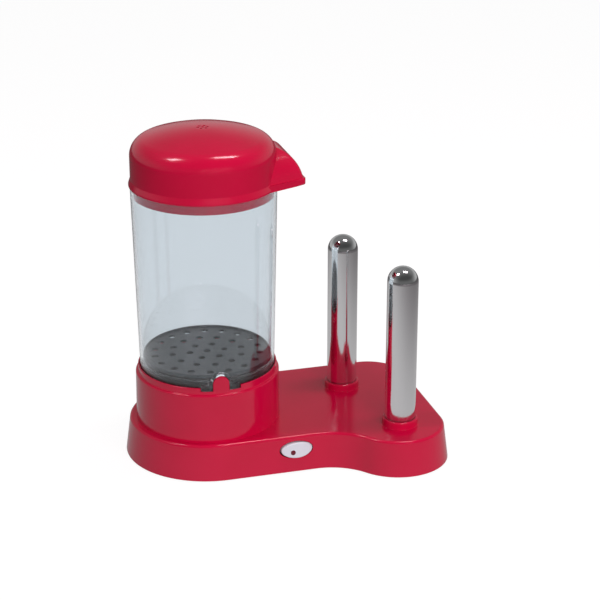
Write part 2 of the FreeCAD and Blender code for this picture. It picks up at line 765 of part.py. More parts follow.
def make_thermostat():
    """The disc thermostat pressed to the dish by a cone spring, and the thermal fuse on the bridge."""
    y = S["thermostat_offset"]
    low = BRIDGE_TOP + S["spring_height"]
    can = rod("thermostat_can", S["thermostat_radius"], S["thermostat_height"], 0, y, low)
    reach = (S["thermostat_radius"] + S["thermostat_tab"]) * 2
    tabs = block("thermostat_tabs", reach, S["blade_width"], S["blade_thickness"], 0, y,
                 low + S["thermostat_height"] / 3)
    keep("thermostat", joined("thermostat", [can, tabs]))
    spring = turned("thermostat_spring", [
        (S["thermostat_radius"] - S["blade_thickness"] * 2, BRIDGE_TOP),
        (S["thermostat_radius"] - S["blade_thickness"], BRIDGE_TOP),
        (S["thermostat_radius"] / 2 + S["blade_thickness"], low),
        (S["thermostat_radius"] / 2, low),
    ])
    keep("thermostat_spring", put(spring, 0, y, 0))
    lead = S["pin_radius"]
    level = BRIDGE_TOP + S["fuse_radius"] + S["fit_gap"]
    along = Vector(1, 0, 0)
    body = rod("fuse_body", S["fuse_radius"], S["fuse_length"], -S["fuse_length"] / 2, -y, level, along)
    length = S["fuse_length"] + S["pin_length"] * 2
    leads = rod("fuse_leads", lead, length, -length / 2, -y, level, along)
    keep("thermal_fuse", joined("thermal_fuse", [body, leads]))


def make_spikes():
    """Each heated spike: a chromed tube with a round tip, its rod heater, bush and retainer."""
    radius, wall, neck = S["spike_radius"], S["spike_wall"], S["spike_neck"]
    neck_top = TOP + S["collar_height"] + S["spike_neck_rise"]
    screws = []
    for side, (x, y) in SPIKES.items():
        tube = turned(f"spike_{side}", [
            (radius - wall, SPIKE_FLANGE),
            (S["spike_flange_radius"], SPIKE_FLANGE),
            (S["spike_flange_radius"], CEILING),
            (radius - neck, CEILING),
            (radius - neck, neck_top),
            (radius, neck_top + neck),
            (radius, SPIKE_TIP - radius, radius),
            (0, SPIKE_TIP),
            (0, SPIKE_TIP - wall, -(radius - wall)),
            (radius - wall, SPIKE_TIP - radius),
        ])
        keep(f"spike_{side}", put(tube, x, y, 0))
        bush = turned(f"spike_bush_{side}", [
            (S["rod_heater_radius"] + S["fit_gap"], SPIKE_FLANGE),
            (radius - wall - S["bush_gap"], SPIKE_FLANGE),
            (radius - wall - S["bush_gap"], SPIKE_FLANGE + S["bush_length"]),
            (S["rod_heater_radius"] + S["fit_gap"], SPIKE_FLANGE + S["bush_length"]),
        ])
        keep(f"spike_bush_{side}", put(bush, x, y, 0))
        low = SPIKE_FLANGE - S["rod_heater_drop"]
        sheath = rod(f"rod_sheath_{side}", S["rod_heater_radius"], S["rod_heater_length"], x, y, low)
        pins = [rod(f"rod_pin_{side}_{end}", S["pin_radius"], S["pin_length"], x + offset, y,
                    low - S["pin_length"])
                for end, offset in (("left", -S["rod_heater_radius"] / 2), ("right", S["rod_heater_radius"] / 2))]
        keep(f"spike_heater_{side}", joined(f"spike_heater_{side}", [sheath, *pins]))
        plate = block(f"retainer_plate_{side}", S["retainer_width"], S["retainer_length"],
                      S["retainer_thickness"], x, y, RETAINER)
        holes = [rod(f"retainer_hole_{side}", S["retainer_hole_radius"], S["retainer_thickness"], x, y, RETAINER)]
        for end, offset in (("near", -S["retainer_screw_offset"]), ("far", S["retainer_screw_offset"])):
            holes.append(screw_hole(f"retainer_screw_hole_{side}_{end}", S["retainer_thickness"], x, y + offset,
                                    RETAINER))
        keep(f"spike_retainer_{side}", cut(f"spike_retainer_{side}", plate, holes))
    for name, x, y in retainer_screw_places():
        screws.append(screw(f"retainer_screw_{name}", S["retainer_screw_length"] - S["fit_gap"], x, y, RETAINER))
    keep("retainer_screws", group("retainer_screws", screws))


def tilted(place, depth, angle):
    """A place on a wall, turned about an upright pivot at some depth behind it."""
    swing = Placement(Vector(0, 0, -depth), Rotation(Vector(0, 1, 0), angle))
    return place.multiply(swing).multiply(Placement(Vector(0, 0, depth), Rotation()))


def across(radius, length, side, depth, direction):
    """A round bar of a switch part, centred across the switch."""
    half = direction * (length / 2)
    return Part.makeCylinder(radius, length, Vector(side, 0, -depth) - half, direction)


def make_switch():
    """The oval rocker with its lens and pin, and the switch body clipped behind the wall."""
    up, along = Vector(0, 1, 0), Vector(1, 0, 0)
    crest, skirt, pivot = MM["rocker_crest"], MM["rocker_skirt"], MM["pivot_depth"]
    crown = across(MM["rocker_crown_radius"], 4 * MM["rocker_half_width"], 0,
                   MM["rocker_crown_radius"] - crest, up)
    button = oval(MM["rocker_half_length"], MM["rocker_half_width"], -skirt, crest).common(crown)
    hub = across(MM["hub_radius"], MM["hub_length"], 0, pivot, up)
    nib = Part.makeCylinder(MM["nib_radius"], MM["nib_length"], Vector(0, 0, -pivot - MM["nib_length"]))
    lens_low = crest - MM["lens_length"]
    lens_at = Vector(MM["lens_side"], MM["lens_drop"], lens_low)
    well = Part.makeCylinder(MM["lens_radius"] + MM["screw_gap"], 2 * MM["lens_length"], lens_at)
    pin_hole = across(MM["pivot_pin_radius"] + MM["fit_gap"], 2 * MM["hub_length"], 0, pivot, up)
    rest = tilted(FRONT_WALL, pivot, MM["rocker_tilt"])
    keep("rocker", shaped("rocker", button.fuse([hub, nib]).cut([well, pin_hole]).removeSplitter(), rest))
    lens = Part.makeCylinder(MM["lens_radius"], MM["lens_length"], lens_at)
    keep("indicator_lens", shaped("indicator_lens", lens, rest))
    length, width, depth = MM["switch_box_length"], MM["switch_box_width"], MM["switch_box_depth"]
    wall = MM["switch_box_wall"]
    face = -MM["base_wall"]
    box = Part.makeBox(length, width, depth, Vector(-length / 2, -width / 2, face - depth))
    hollow = Part.makeBox(length - 2 * wall, width - 2 * wall, depth,
                          Vector(wall - length / 2, wall - width / 2, face - depth + wall))
    holes = across(MM["pivot_pin_radius"] + MM["screw_gap"] / 2, 2 * width, 0, pivot, up)
    keep("switch_body", shaped("switch_body", box.cut([hollow, holes]), FRONT_WALL))
    keep("rocker_pin", shaped("rocker_pin", across(MM["pivot_pin_radius"], width, 0, pivot, up), FRONT_WALL))
    blades = []
    for index in (-1, 0, 1):
        blade = Part.makeBox(MM["blade_thickness"], MM["blade_width"], MM["blade_length"],
                             Vector(index * MM["blade_pitch"] - MM["blade_thickness"] / 2, -MM["blade_width"] / 2,
                                    face - depth - MM["blade_length"]))
        blades.append(blade)
    keep("switch_terminals", shaped("switch_terminals", Part.makeCompound(blades), FRONT_WALL))
    lamp_depth = depth - face - wall - MM["lamp_radius"] - MM["fit_gap"]
    lamp = across(MM["lamp_radius"], MM["lamp_length"], -MM["lamp_length"] / 2 - 2 * MM["nib_radius"],
                  lamp_depth, along)
    keep("pilot_lamp", shaped("pilot_lamp", lamp, FRONT_WALL))


def make_mains_entry():
    """The cord gland in the back wall, the clamp behind it and the terminal block."""
    radius, bore = S["gland_radius"], S["gland_bore_radius"]
    inside = S["base_wall"]
    gland = turned("cord_gland", [
        (bore, -(inside + S["gland_tail"])),
        (radius, -(inside + S["gland_tail"])),
        (radius + S["gland_lug"], -(inside + S["gland_lug"])),
        (radius + S["gland_lug"], -inside),
        (radius, -inside),
        (radius, 0),
        (S["gland_flange_radius"], 0),
        (S["gland_flange_radius"] - S["gland_lug"], S["gland_flange"]),
        (bore, S["gland_flange"]),
    ])
    gland.Placement = BACK_WALL
    keep("cord_gland", gland)
    x, y, low = S["gland_x"], S["clamp_y"], CLAMP
    saddle = block("clamp_saddle", S["clamp_length"], S["clamp_width"], S["clamp_height"], x, y, low)
    tools = [block("clamp_channel", S["clamp_channel"], S["clamp_width"], S["clamp_height"], x, y,
                   low + S["clamp_floor"])]
    for name, hole_x, hole_y in clamp_screw_places():
        tools.append(screw_hole(f"clamp_hole_{name}", S["clamp_height"], hole_x, hole_y, low))
    keep("cord_clamp", cut("cord_clamp", saddle, tools))
    screws = [screw(f"clamp_screw_{name}", S["clamp_screw_length"] - S["fit_gap"], at_x, at_y, low)
              for name, at_x, at_y in clamp_screw_places()]
    keep("clamp_screws", group("clamp_screws", screws))
    x, y = S["terminal_x"], S["terminal_y"]
    housing = block("terminal_housing", S["terminal_length"], S["terminal_width"], S["terminal_height"], x, y,
                    COVER_TOP)
    wells, screws = [], []
    floor = COVER_TOP + S["terminal_height"] - S["terminal_well"]
    for index in (-1, 0, 1):
        at_x = x + S["terminal_pitch"] * index
        wells.append(rod(f"terminal_well_{index + 1}", S["terminal_screw_radius"] + S["screw_gap"],
                         S["terminal_well"], at_x, y, floor))
        screws.append(rod(f"terminal_screw_{index + 1}", S["terminal_screw_radius"],
                          S["terminal_screw_height"], at_x, y, floor))
    keep("terminal_block", cut("terminal_block", housing, wells))
    keep("terminal_screws", group("terminal_screws", screws))


def container_bead():
    """The raised bead round the key notch, with a foot on each side."""
    half = MM["key_width"] / 2 + MM["key_gap"]
    low = CREST.number + MM["bead_foot_drop"]
    high = LIP_TOP.number + MM["key_height"] + MM["key_gap"] + MM["bead_width"]
    band = arch(half + MM["bead_width"], low, high, 2 * MM["well_radius"])
    feet = Part.makeBox(2 * feet_span(), 2 * MM["well_radius"], MM["bead_foot_height"],
                        Vector(MM["key_offset"] - feet_span(), -2 * MM["well_radius"], low))
    inner = MM["container_foot_radius"] - MM["container_wall"] / 2
    sleeve = ring(inner, MM["container_foot_radius"] + MM["bead_proud"], low, high)
    return band.fuse(feet).common(sleeve)


def make_container():
    """The clear container: a tapered wall with an inner ledge, and the notch and bead of its key."""
    foot, top, wall = S["container_foot_radius"], S["container_top_radius"], S["container_wall"]

    def inner_at(level):
        return foot + CONTAINER_TAPER * (level - SEAT) - wall

    under = LEDGE - S["ledge_thickness"]
    tube = turned("container_tube", [
        (foot - wall, SEAT),
        (foot, SEAT),
        (top, CONTAINER_TOP),
        (top - wall, CONTAINER_TOP),
        (inner_at(LEDGE), LEDGE),
        (inner_at(LEDGE) - S["ledge_width"], LEDGE),
        (inner_at(LEDGE) - S["ledge_width"], under),
        (inner_at(under), under),
    ])
    solid = joined("container_solids", [tube, shaped("container_bead", container_bead())])
    notch = arch(MM["key_width"] / 2 + MM["key_gap"], SEAT.number - 1,
                 LIP_TOP.number + MM["key_height"] + MM["key_gap"], 2 * MM["well_radius"])
    keep("container", cut("container", solid, [shaped("key_notch", notch)]))


def make_tray():
    """The perforated steam tray with its low rim, which lies on the container's ledge."""
    edge = S["container_foot_radius"] + CONTAINER_TAPER * S["ledge_level"] - S["container_wall"] - S["tray_gap"]
    floor = LEDGE + S["tray_thickness"]
    tray = turned("steam_tray", [
        (S["tray_hole_radius"], LEDGE),
        (edge, LEDGE),
        (edge, LEDGE + S["tray_rim_height"]),
        (edge - S["tray_rim_wall"], LEDGE + S["tray_rim_height"]),
        (edge - S["tray_rim_wall"], floor),
        (S["tray_hole_radius"], floor),
    ])
    doc.recompute()
    for index, count in enumerate((6, 12, 18), start=1):
        sketch = new_sketch(tray, "XY_Plane", f"tray_hole_sketch_{index}")
        centre = S["tray_ring_pitch"] * index
        hole = sketch.addGeometry(Part.Circle(Vector(centre.number, 0, 0), Vector(0, 0, 1),
                                              MM["tray_hole_radius"]), False)
        size = sketch.addConstraint(Sketcher.Constraint("Radius", hole, MM["tray_hole_radius"]))
        sketch.setExpression(f"Constraints[{size}]", S["tray_hole_radius"].text)
        pin_point(sketch, hole, 3, centre, 0)
        pocket = tray.newObject("PartDesign::Pocket", f"tray_hole_{index}")
        pocket.Profile = sketch
        pocket.Type = "ThroughAll"
        pocket.Midplane = True
        pattern = tray.newObject("PartDesign::PolarPattern", f"tray_holes_{index}")
        pattern.Originals = [pocket]
        pattern.Axis = (sketch, ["N_Axis"])
        pattern.Angle = 360
        pattern.Occurrences = count
        tray.Tip = pattern
    keep("steam_tray", tray)


def grip_solid(inset, low):
    """The scoop's outer form, or with an inset its hollow: a quarter ellipse from the side, arched across."""
    back = MM["lid_side_radius"] - MM["grip_run"]
    reach = MM["grip_reach"] - MM["brim_proud"]
    half = MM["grip_tip_half_width"] - MM["brim_side_proud"] + MM["grip_taper"] * MM["brim_proud"]
    centre_x = reach - MM["grip_run"]
    base = CONTAINER_TOP.number
    run, rise = MM["grip_run"] - inset, MM["grip_rise"] - inset
    curve = Part.Ellipse(Vector(centre_x, 0, base + rise), Vector(centre_x + run, 0, base),
                         Vector(centre_x, 0, base))
    bow = Part.Arc(curve, 0, math.pi / 2).toShape()
    corners = [bow.Vertexes[0].Point, Vector(back, 0, base + rise), Vector(back, 0, low)]
    corners += [Vector(centre_x + run, 0, low), bow.Vertexes[-1].Point]
    if abs(bow.Vertexes[0].Point.x - centre_x) > 1e-6:
        corners = corners[::-1]
    side = Part.Face(Part.Wire(Part.__sortEdges__([bow] + [
        Part.LineSegment(a, b).toShape() for a, b in zip(corners, corners[1:]) if (a - b).Length > 1e-9
    ])))
    depth = 4 * MM["grip_tip_half_width"]
    profile = side.extrude(Vector(0, depth, 0))
    profile.translate(Vector(0, -depth / 2, 0))
    root = half + MM["grip_taper"] * (reach - back)
    arches = [arch_wire(back, root - inset, base, MM["grip_arch_rise"] - inset, low),
              arch_wire(reach, half - inset, base, MM["grip_arch_rise"] - inset, low)]
    return profile.common(Part.makeLoft(arches, True, True))


def arch_wire(at_x, half, base, rise, low):
    """An upright half ellipse across the grip, with straight legs down to the low level."""
    circle = Part.Arc(Vector(0, rise, 0), Vector(0, 0, rise), Vector(0, -rise, 0)).toShape()
    widen = FreeCAD.Matrix()
    widen.A22 = half / rise
    bow = circle.transformGeometry(widen)
    bow.translate(Vector(at_x, 0, base))
    corners = [Vector(at_x, -half, base), Vector(at_x, -half, low), Vector(at_x, half, low), Vector(at_x, half, base)]
    legs = [Part.LineSegment(a, b).toShape() for a, b in zip(corners, corners[1:]) if (a - b).Length > 1e-9]
    return Part.Wire(Part.__sortEdges__([bow, *legs]))


def grip_plan(back, reach, half, low, high):
    """A prism with the grip's tapering plan."""
    root = half + MM["grip_taper"] * (reach - back)
    corners = [Vector(back, -root, low), Vector(reach, -half, low), Vector(reach, half, low),
               Vector(back, root, low)]
    return Part.Face(Part.makePolygon([*corners, corners[0]])).extrude(Vector(0, 0, high - low))


def make_grip():
    """The hollow scoop with its brim, outside the lid's own wall."""
    low = CONTAINER_TOP.number
    back = MM["lid_side_radius"] - MM["grip_run"]
    scoop = grip_solid(0, low)
    crown = [edge for edge in scoop.Edges if max(v.Z for v in edge.Vertexes) > low + MM["brim_height"] + 1
             and min(v.X for v in edge.Vertexes) > back + 1]
    scoop = scoop.makeFillet(MM["grip_round"], crown)
    brim = grip_plan(back, MM["grip_reach"], MM["grip_tip_half_width"], low, low + MM["brim_height"])
    posts = [edge for edge in brim.Edges if all(v.X > MM["grip_reach"] - 1 for v in edge.Vertexes)
             and abs(edge.Vertexes[0].Z - edge.Vertexes[-1].Z) > 1]
    brim = brim.makeFillet(MM["grip_round"], posts)
    hollow = grip_solid(MM["grip_wall"], low - 1)
    bend = MM["lid_shoulder_radius"] - MM["lid_wall"] / 2
    inside = Part.makeCylinder(MM["lid_side_radius"] - MM["lid_wall"] / 2, MM["lid_side_height"] + bend + 1,
                               Vector(0, 0, low - 1))
    shoulder = [edge for edge in inside.Edges if all(v.Z > low + MM["lid_side_height"] for v in edge.Vertexes)]
    return scoop.fuse(brim).cut([hollow, inside.makeFillet(bend, shoulder)]).removeSplitter()


def make_lid():
    """The domed lid: lip, side, round shoulder and crown, inner skirt, grip and steam holes."""
    wall, side, bend = S["lid_wall"], S["lid_side_radius"], S["lid_shoulder_radius"]
    low = CONTAINER_TOP
    shoulder = low + S["lid_side_height"]
    inset = side - bend
    reach = S["lid_crown_radius"] - bend
    rise = root(reach * reach - inset * inset)
    centre = shoulder - rise

    def meeting(depth):
        radius = S["lid_crown_radius"] - depth
        return inset * radius / reach, centre + rise * radius / reach

    outer, inner = meeting(sized(0)), meeting(wall)
    crown = S["lid_crown_radius"]
    cap = turned("lid_cap", [
        (S["skirt_radius"] - S["skirt_wall"], low - S["skirt_depth"]),
        (S["skirt_radius"], low - S["skirt_depth"]),
        (S["skirt_radius"], low),
        (S["lid_lip_radius"], low),
        (S["lid_lip_radius"], low + S["lid_lip_height"]),
        (side, low + S["lid_lip_height"] + S["lid_flare_height"]),
        (side, shoulder, bend),
        (outer[0], outer[1], crown),
        (0, centre + crown),
        (0, centre + crown - wall, -(crown - wall)),
        (inner[0], inner[1], -(bend - wall)),
        (side - wall, shoulder),
        (side - wall, low + S["lid_lip_height"]),
        (S["skirt_radius"] - S["skirt_wall"], low + S["lid_lip_height"]),
    ])
    solid = joined("lid_solids", [cap, shaped("lid_grip", make_grip())])
    length = wall * 4
    holes = [rod("vent_centre", S["vent_hole_radius"], length, 0, 0, centre + crown - wall * 2)]
    for index in range(6):
        turn = math.radians(60 * index)
        holes.append(rod(f"vent_hole_{index}", S["vent_hole_radius"], length,
                         S["vent_circle_radius"] * math.cos(turn), S["vent_circle_radius"] * math.sin(turn),
                         centre + crown - wall * 2))
    keep("lid", cut("lid", solid, holes))


def check_and_write():
    """Refuses to write anything while a feature has failed, then writes each piece to its file."""
    doc.recompute()
    failed = [item.Name for item in doc.Objects if {"Invalid", "Error"} & set(item.State)]
    if failed:
        raise RuntimeError(f"features that failed: {failed}")
    for label, item in NODES.items():
        if item.Shape.isNull() or not item.Shape.isValid():
            raise RuntimeError(f"{label} has no valid shape")
    os.makedirs("parts", exist_ok=True)
    for label, item in NODES.items():
        item.Shape.exportStep(f"parts/{label}.step")
        print(f"{label}: {len(item.Shape.Solids)} solid(s), {item.Shape.Volume / 1000:.2f} cm3")


make_pedestal()
make_housing()
make_cover()
make_feet()
make_dish()
make_dish_heater()
make_thermostat()
make_spikes()
make_switch()
make_mains_entry()
make_container()
make_tray()
make_lid()
check_and_write()
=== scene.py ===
# %% [markdown]
# # A hot dog toaster in Blender
# The toaster is a low red base on rubber feet. A round pedestal on its left carries a water dish, and a clear
# container with a domed lid stands on the pedestal. Two bright metal spikes stand on the right, and an oval
# rocker switch sits in the front wall. The construction model gives every piece its size and place. Here its
# visible pieces are modelled again with round edges and smooth walls, and each gets its finish.

# %% Load the construction model
import math

import bmesh
import bpy
from mathutils import Matrix, Vector


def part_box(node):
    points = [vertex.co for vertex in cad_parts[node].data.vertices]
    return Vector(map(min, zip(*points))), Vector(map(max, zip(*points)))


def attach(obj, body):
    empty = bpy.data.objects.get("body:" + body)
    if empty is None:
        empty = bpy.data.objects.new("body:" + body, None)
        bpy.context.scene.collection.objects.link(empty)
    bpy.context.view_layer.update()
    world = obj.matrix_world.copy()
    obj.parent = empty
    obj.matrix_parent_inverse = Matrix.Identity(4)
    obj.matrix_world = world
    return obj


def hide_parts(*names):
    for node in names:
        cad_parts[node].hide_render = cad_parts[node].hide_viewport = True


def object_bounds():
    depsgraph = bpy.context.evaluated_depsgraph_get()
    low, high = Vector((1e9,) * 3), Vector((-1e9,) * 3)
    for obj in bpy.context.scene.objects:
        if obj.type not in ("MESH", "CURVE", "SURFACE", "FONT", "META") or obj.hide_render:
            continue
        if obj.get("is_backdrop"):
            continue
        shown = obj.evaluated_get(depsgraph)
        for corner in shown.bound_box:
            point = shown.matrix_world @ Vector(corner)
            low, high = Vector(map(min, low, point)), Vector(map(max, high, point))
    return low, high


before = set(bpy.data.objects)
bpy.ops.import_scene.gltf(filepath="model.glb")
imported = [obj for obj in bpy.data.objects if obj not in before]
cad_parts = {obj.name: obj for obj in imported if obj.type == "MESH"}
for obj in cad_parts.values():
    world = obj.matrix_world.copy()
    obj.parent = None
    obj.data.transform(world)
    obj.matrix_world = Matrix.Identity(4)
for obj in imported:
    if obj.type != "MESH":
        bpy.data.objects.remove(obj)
cad_low, cad_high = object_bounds()
print("construction model:", [round(v, 4) for v in cad_high - cad_low])

# %% [markdown]
# ## Sizes
# Lengths are in metres, so a millimetre has a name. Levels come from the boxes of the construction model's
# nodes where they can be read there, and the rest are the moulding's own walls and roundings.

# %% Levels of the toaster
MM = 0.001
UP = Vector((0, 0, 1))
spike_flange = 1.2 * MM
top_wall = 2.6 * MM
pedestal_rise = 41.3 * MM
lip_rise = 5.8 * MM


def low_and_high(node_name):
    """Lowest and highest level of a node."""
    low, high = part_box(node_name)
    return low.z, high.z


base_foot, _ = low_and_high("base_housing")
seat, container_top = low_and_high("container")
tray_level, _ = low_and_high("steam_tray")
_, flange_under = low_and_high("spike_retainer_front")
_, spike_tip = low_and_high("spike_front")
_, lid_apex = low_and_high("lid")
ceiling = flange_under + spike_flange
base_top = ceiling + top_wall
crest = base_top + pedestal_rise
lip_top = crest + lip_rise
print("base top, crest, seat and lid top, mm:", [round(z / MM, 1) for z in (base_top, crest, seat, lid_apex)])

# %% [markdown]
# ## Helpers for modelling
# Most pieces are turned or moulded. A section is walked with a pen: a vertex is extruded along straight runs
# and spun round the centres of arcs. Its corners are rounded by Blender's vertex bevel, each by its own
# radius, as a mould maker would, and the section is then spun round an upright axis.

# %% Walk with a pen
# An arc has a step every 4 degrees and at least 5 steps, and a rounded corner has 5.
ARC_STEP, FEWEST_STEPS, CORNER_STEPS = 4, 5, 5


def verts_in(made):
    """The vertices among the things that an operator made."""
    return [item for item in made if isinstance(item, bmesh.types.BMVert)]


def run_to(bm, vert, point):
    """Extrudes the pen's vertex to a point."""
    made = bmesh.ops.extrude_vert_indiv(bm, verts=[vert])["verts"][0]
    made.co = point
    return made


def turn_by(bm, vert, centre, angle, steps, axis=UP):
    """Spins the pen's vertex round a centre."""
    made = bmesh.ops.spin(bm, geom=[vert], cent=centre, axis=axis, angle=angle, steps=steps, use_merge=False)
    return verts_in(made["geom_last"])[0]


def walked(path, opened=False, filled=False):
    """An outline in the XZ plane through (x, z, rounding) corners in millimetres. An arc is a step of
    ("turn", centre x, centre z, degrees), which is positive from Z towards X."""
    bm = bmesh.new()
    pen, first, rounded = None, None, []
    for step in path:
        if step[0] == "turn":
            centre, degrees = (step[1] * MM, 0, step[2] * MM), step[3]
            steps = max(FEWEST_STEPS, round(abs(degrees) / ARC_STEP))
            pen = turn_by(bm, pen, centre, math.radians(degrees), steps, (0, 1, 0))
            continue
        point = (step[0] * MM, 0, step[1] * MM)
        pen = run_to(bm, pen, point) if pen else bm.verts.new(point)
        first = first or pen
        if len(step) > 2:
            rounded.append((pen, step[2] * MM))
    bm.edges.new((pen, first))
    bmesh.ops.contextual_create(bm, geom=bm.edges[:])
    for vert, radius in rounded:
        ends = [edge.other_vert(vert).co - vert.co for edge in vert.link_edges]
        offset = radius / math.tan(ends[0].angle(ends[1]) / 2)
        bmesh.ops.bevel(bm, geom=[vert], offset=offset, affect="VERTICES", segments=CORNER_STEPS, profile=0.5,
                        material=-1)
    if not filled:
        bmesh.ops.delete(bm, geom=bm.faces[:], context="FACES_ONLY")
    if opened:
        bmesh.ops.delete(bm, geom=[bm.edges.get((pen, first))], context="EDGES")
    return bm


# %% Turn, round, cut and join
# Points closer than a weld become one, and a cut or an edge shorter than a sliver doesn't count.
WELD = 0.001 * MM
SLIVER = WELD / 10


def turned(path, steps=160, centre=(0, 0), opened=False):
    """A piece turned about an upright axis. An opened section has no run from its last corner back."""
    bm = walked(path, opened)
    bmesh.ops.spin(bm, geom=bm.verts[:] + bm.edges[:], cent=(0, 0, 0), axis=UP, angle=math.tau, steps=steps,
                   use_merge=True)
    bmesh.ops.remove_doubles(bm, verts=bm.verts, dist=WELD)
    bmesh.ops.dissolve_degenerate(bm, edges=bm.edges, dist=SLIVER)
    bmesh.ops.translate(bm, verts=bm.verts, vec=(centre[0], centre[1], 0))
    return bm


def round_edges(bm, edges, radius, steps):
    """Rounds edges, in some steps."""
    bmesh.ops.bevel(bm, geom=edges, offset=radius, affect="EDGES", segments=steps, profile=0.5, material=-1)


def cut_at(bm, point, normal):
    """Cuts the faces along a plane, and takes nothing away."""
    bmesh.ops.bisect_plane(bm, geom=bm.verts[:] + bm.edges[:] + bm.faces[:], dist=SLIVER, plane_co=point,
                           plane_no=normal)


def join_into(bm, *others):
    """Adds other bmeshes to one."""
    for other in others:
        mesh = bpy.data.meshes.new("part")
        other.to_mesh(mesh)
        other.free()
        bm.from_mesh(mesh)
        bpy.data.meshes.remove(mesh)
    return bm


# %% Turn a bmesh into an object
def as_object(name, bm):
    """An object with a bmesh's faces, turned outwards."""
    bmesh.ops.recalc_face_normals(bm, faces=bm.faces)
    mesh = bpy.data.meshes.new(name)
    bm.to_mesh(mesh)
    bm.free()
    made = bpy.data.objects.new(name, mesh)
    bpy.context.collection.objects.link(made)
    return made


def carved(bm, *steps):
    """Adds or takes away other closed meshes. Each step is an operation's name and a bmesh."""
    work = as_object("work", bm)
    tools = []
    for operation, tool in steps:
        modifier = work.modifiers.new("step", "BOOLEAN")
        modifier.operation = operation
        modifier.solver = "EXACT"
        modifier.object = as_object("tool", tool)
        tools.append(modifier.object)
    shaped = work.evaluated_get(bpy.context.evaluated_depsgraph_get())
    result = bmesh.new()
    result.from_mesh(shaped.to_mesh())
    shaped.to_mesh_clear()
    for item in [work, *tools]:
        bpy.data.objects.remove(item)
    bmesh.ops.remove_doubles(result, verts=result.verts, dist=2 * WELD)
    bmesh.ops.dissolve_degenerate(result, edges=result.edges, dist=WELD)
    return result


def finished(name, bm, body, material, node=None, sharp=35):
    """Makes a finished piece: smooth but for its sharp edges, in its material, riding on its body. It stands
    for the construction node of its own name, or for another one."""
    piece = as_object(name, bm)
    mesh = piece.data
    mesh.polygons.foreach_set("use_smooth", [True] * len(mesh.polygons))
    mesh.set_sharp_from_angle(angle=math.radians(sharp))
    weighted = piece.modifiers.new("even_normals", "WEIGHTED_NORMAL")
    weighted.keep_sharp = True
    mesh.materials.append(material)
    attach(piece, body)
    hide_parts(node or name)
    edges = bmesh.new()
    edges.from_mesh(mesh)
    loose = sum(len(edge.link_faces) != 2 for edge in edges.edges)
    edges.free()
    print(f"{name}: {len(mesh.polygons)} faces, {loose} open edges, rides on {body}")


# %% Blocks and bent slabs
def drawn_out(path, start, depth):
    """A block: an upright outline, drawn out along Y from a start and by a depth in millimetres."""
    bm = walked(path, filled=True)
    bmesh.ops.translate(bm, verts=bm.verts, vec=(0, start * MM, 0))
    made = bmesh.ops.extrude_face_region(bm, geom=bm.faces[:])["geom"]
    bmesh.ops.translate(bm, verts=verts_in(made), vec=(0, depth * MM, 0))
    bmesh.ops.recalc_face_normals(bm, faces=bm.faces)
    return bm


def slab_round_front(path, inner, outer, rounding, spacing=1.6):
    """A slab that is bent in front of the container's axis, between two radii in millimetres. It is cut into
    strips of an even spacing first, so that it can bend."""
    bm = drawn_out(path, -inner, inner - outer)
    if rounding:
        front = -(outer - 0.01) * MM
        rim = [edge for edge in bm.edges if all(vert.co.y < front for vert in edge.verts)
               and edge.calc_face_angle(0) > 1]
        round_edges(bm, rim, rounding * MM, 3)
    cuts = int(max(abs(vert.co.x) for vert in bm.verts) / (spacing * MM))
    for index in range(-cuts, cuts + 1):
        cut_at(bm, (index * spacing * MM, 0, 0), (1, 0, 0))
    for vert in bm.verts:
        vert.co.y = -math.sqrt(vert.co.y**2 - vert.co.x**2)
    return bm


# %% [markdown]
# ## Finishes
# Each finish is a small node tree on the Principled shader. Colours are written as sRGB hex values, as they
# look on screen, and one function turns them to the linear values that the shader needs.


# %% Helpers for finishes
def colour(hex_value):
    """A linear RGBA colour from an sRGB hex value."""
    channels = [int(hex_value[i:i + 2], 16) / 255 for i in (1, 3, 5)]
    linear = [c / 12.92 if c <= 0.04045 else ((c + 0.055) / 1.055) ** 2.4 for c in channels]
    return (*linear, 1.0)


def add(tree, kind, links=None, **settings):
    """Adds a node. Settings are its own properties, and links fill its sockets with values or outputs."""
    made = tree.nodes.new(kind)
    for name, value in settings.items():
        setattr(made, name, value)
    for name, value in (links or {}).items():
        socket = made.inputs[name]
        if isinstance(value, bpy.types.NodeSocket):
            tree.links.new(value, socket)
        else:
            socket.default_value = value
    return made


def new_finish(name, **sockets):
    """A material with a Principled shader, its tree and that shader."""
    material = bpy.data.materials.new(name)
    material.use_nodes = True
    tree = material.node_tree
    shader = tree.nodes["Principled BSDF"]
    for socket, value in sockets.items():
        shader.inputs[socket.replace("_", " ")].default_value = value
    return material, tree, shader


def grain(tree, size_mm, detail=2.0, stretch=(1, 1, 1)):
    """Noise whose lumps are about as large as a real size, stretched along the axes."""
    where = add(tree, "ShaderNodeTexCoord").outputs["Object"]
    mapping = add(tree, "ShaderNodeMapping", {"Vector": where, "Scale": stretch})
    return add(tree, "ShaderNodeTexNoise", {"Vector": mapping.outputs[0], "Scale": 1 / (size_mm * MM),
                                            "Detail": detail}).outputs["Fac"]


def spread(tree, value, low, high):
    """Maps noise, which lies mostly between a quarter and three quarters, onto a range of numbers."""
    ends = {"Value": value, "From Min": 0.25, "From Max": 0.75, "To Min": low, "To Max": high}
    return add(tree, "ShaderNodeMapRange", ends, interpolation_type="SMOOTHSTEP").outputs["Result"]


def mottled(tree, shader, value, first, second):
    """Two close colours mixed by noise, as pigment or coating varies."""
    mix = add(tree, "ShaderNodeMix", {"Factor": value, "A": colour(first), "B": colour(second)},
              data_type="RGBA")
    tree.links.new(mix.outputs["Result"], shader.inputs["Base Color"])


def bumped(tree, shader, value, depth_mm, strength=1.0):
    """Relief on the surface, as deep as a real size."""
    bump = add(tree, "ShaderNodeBump", {"Height": value, "Distance": depth_mm * MM, "Strength": strength})
    tree.links.new(bump.outputs["Normal"], shader.inputs["Normal"])


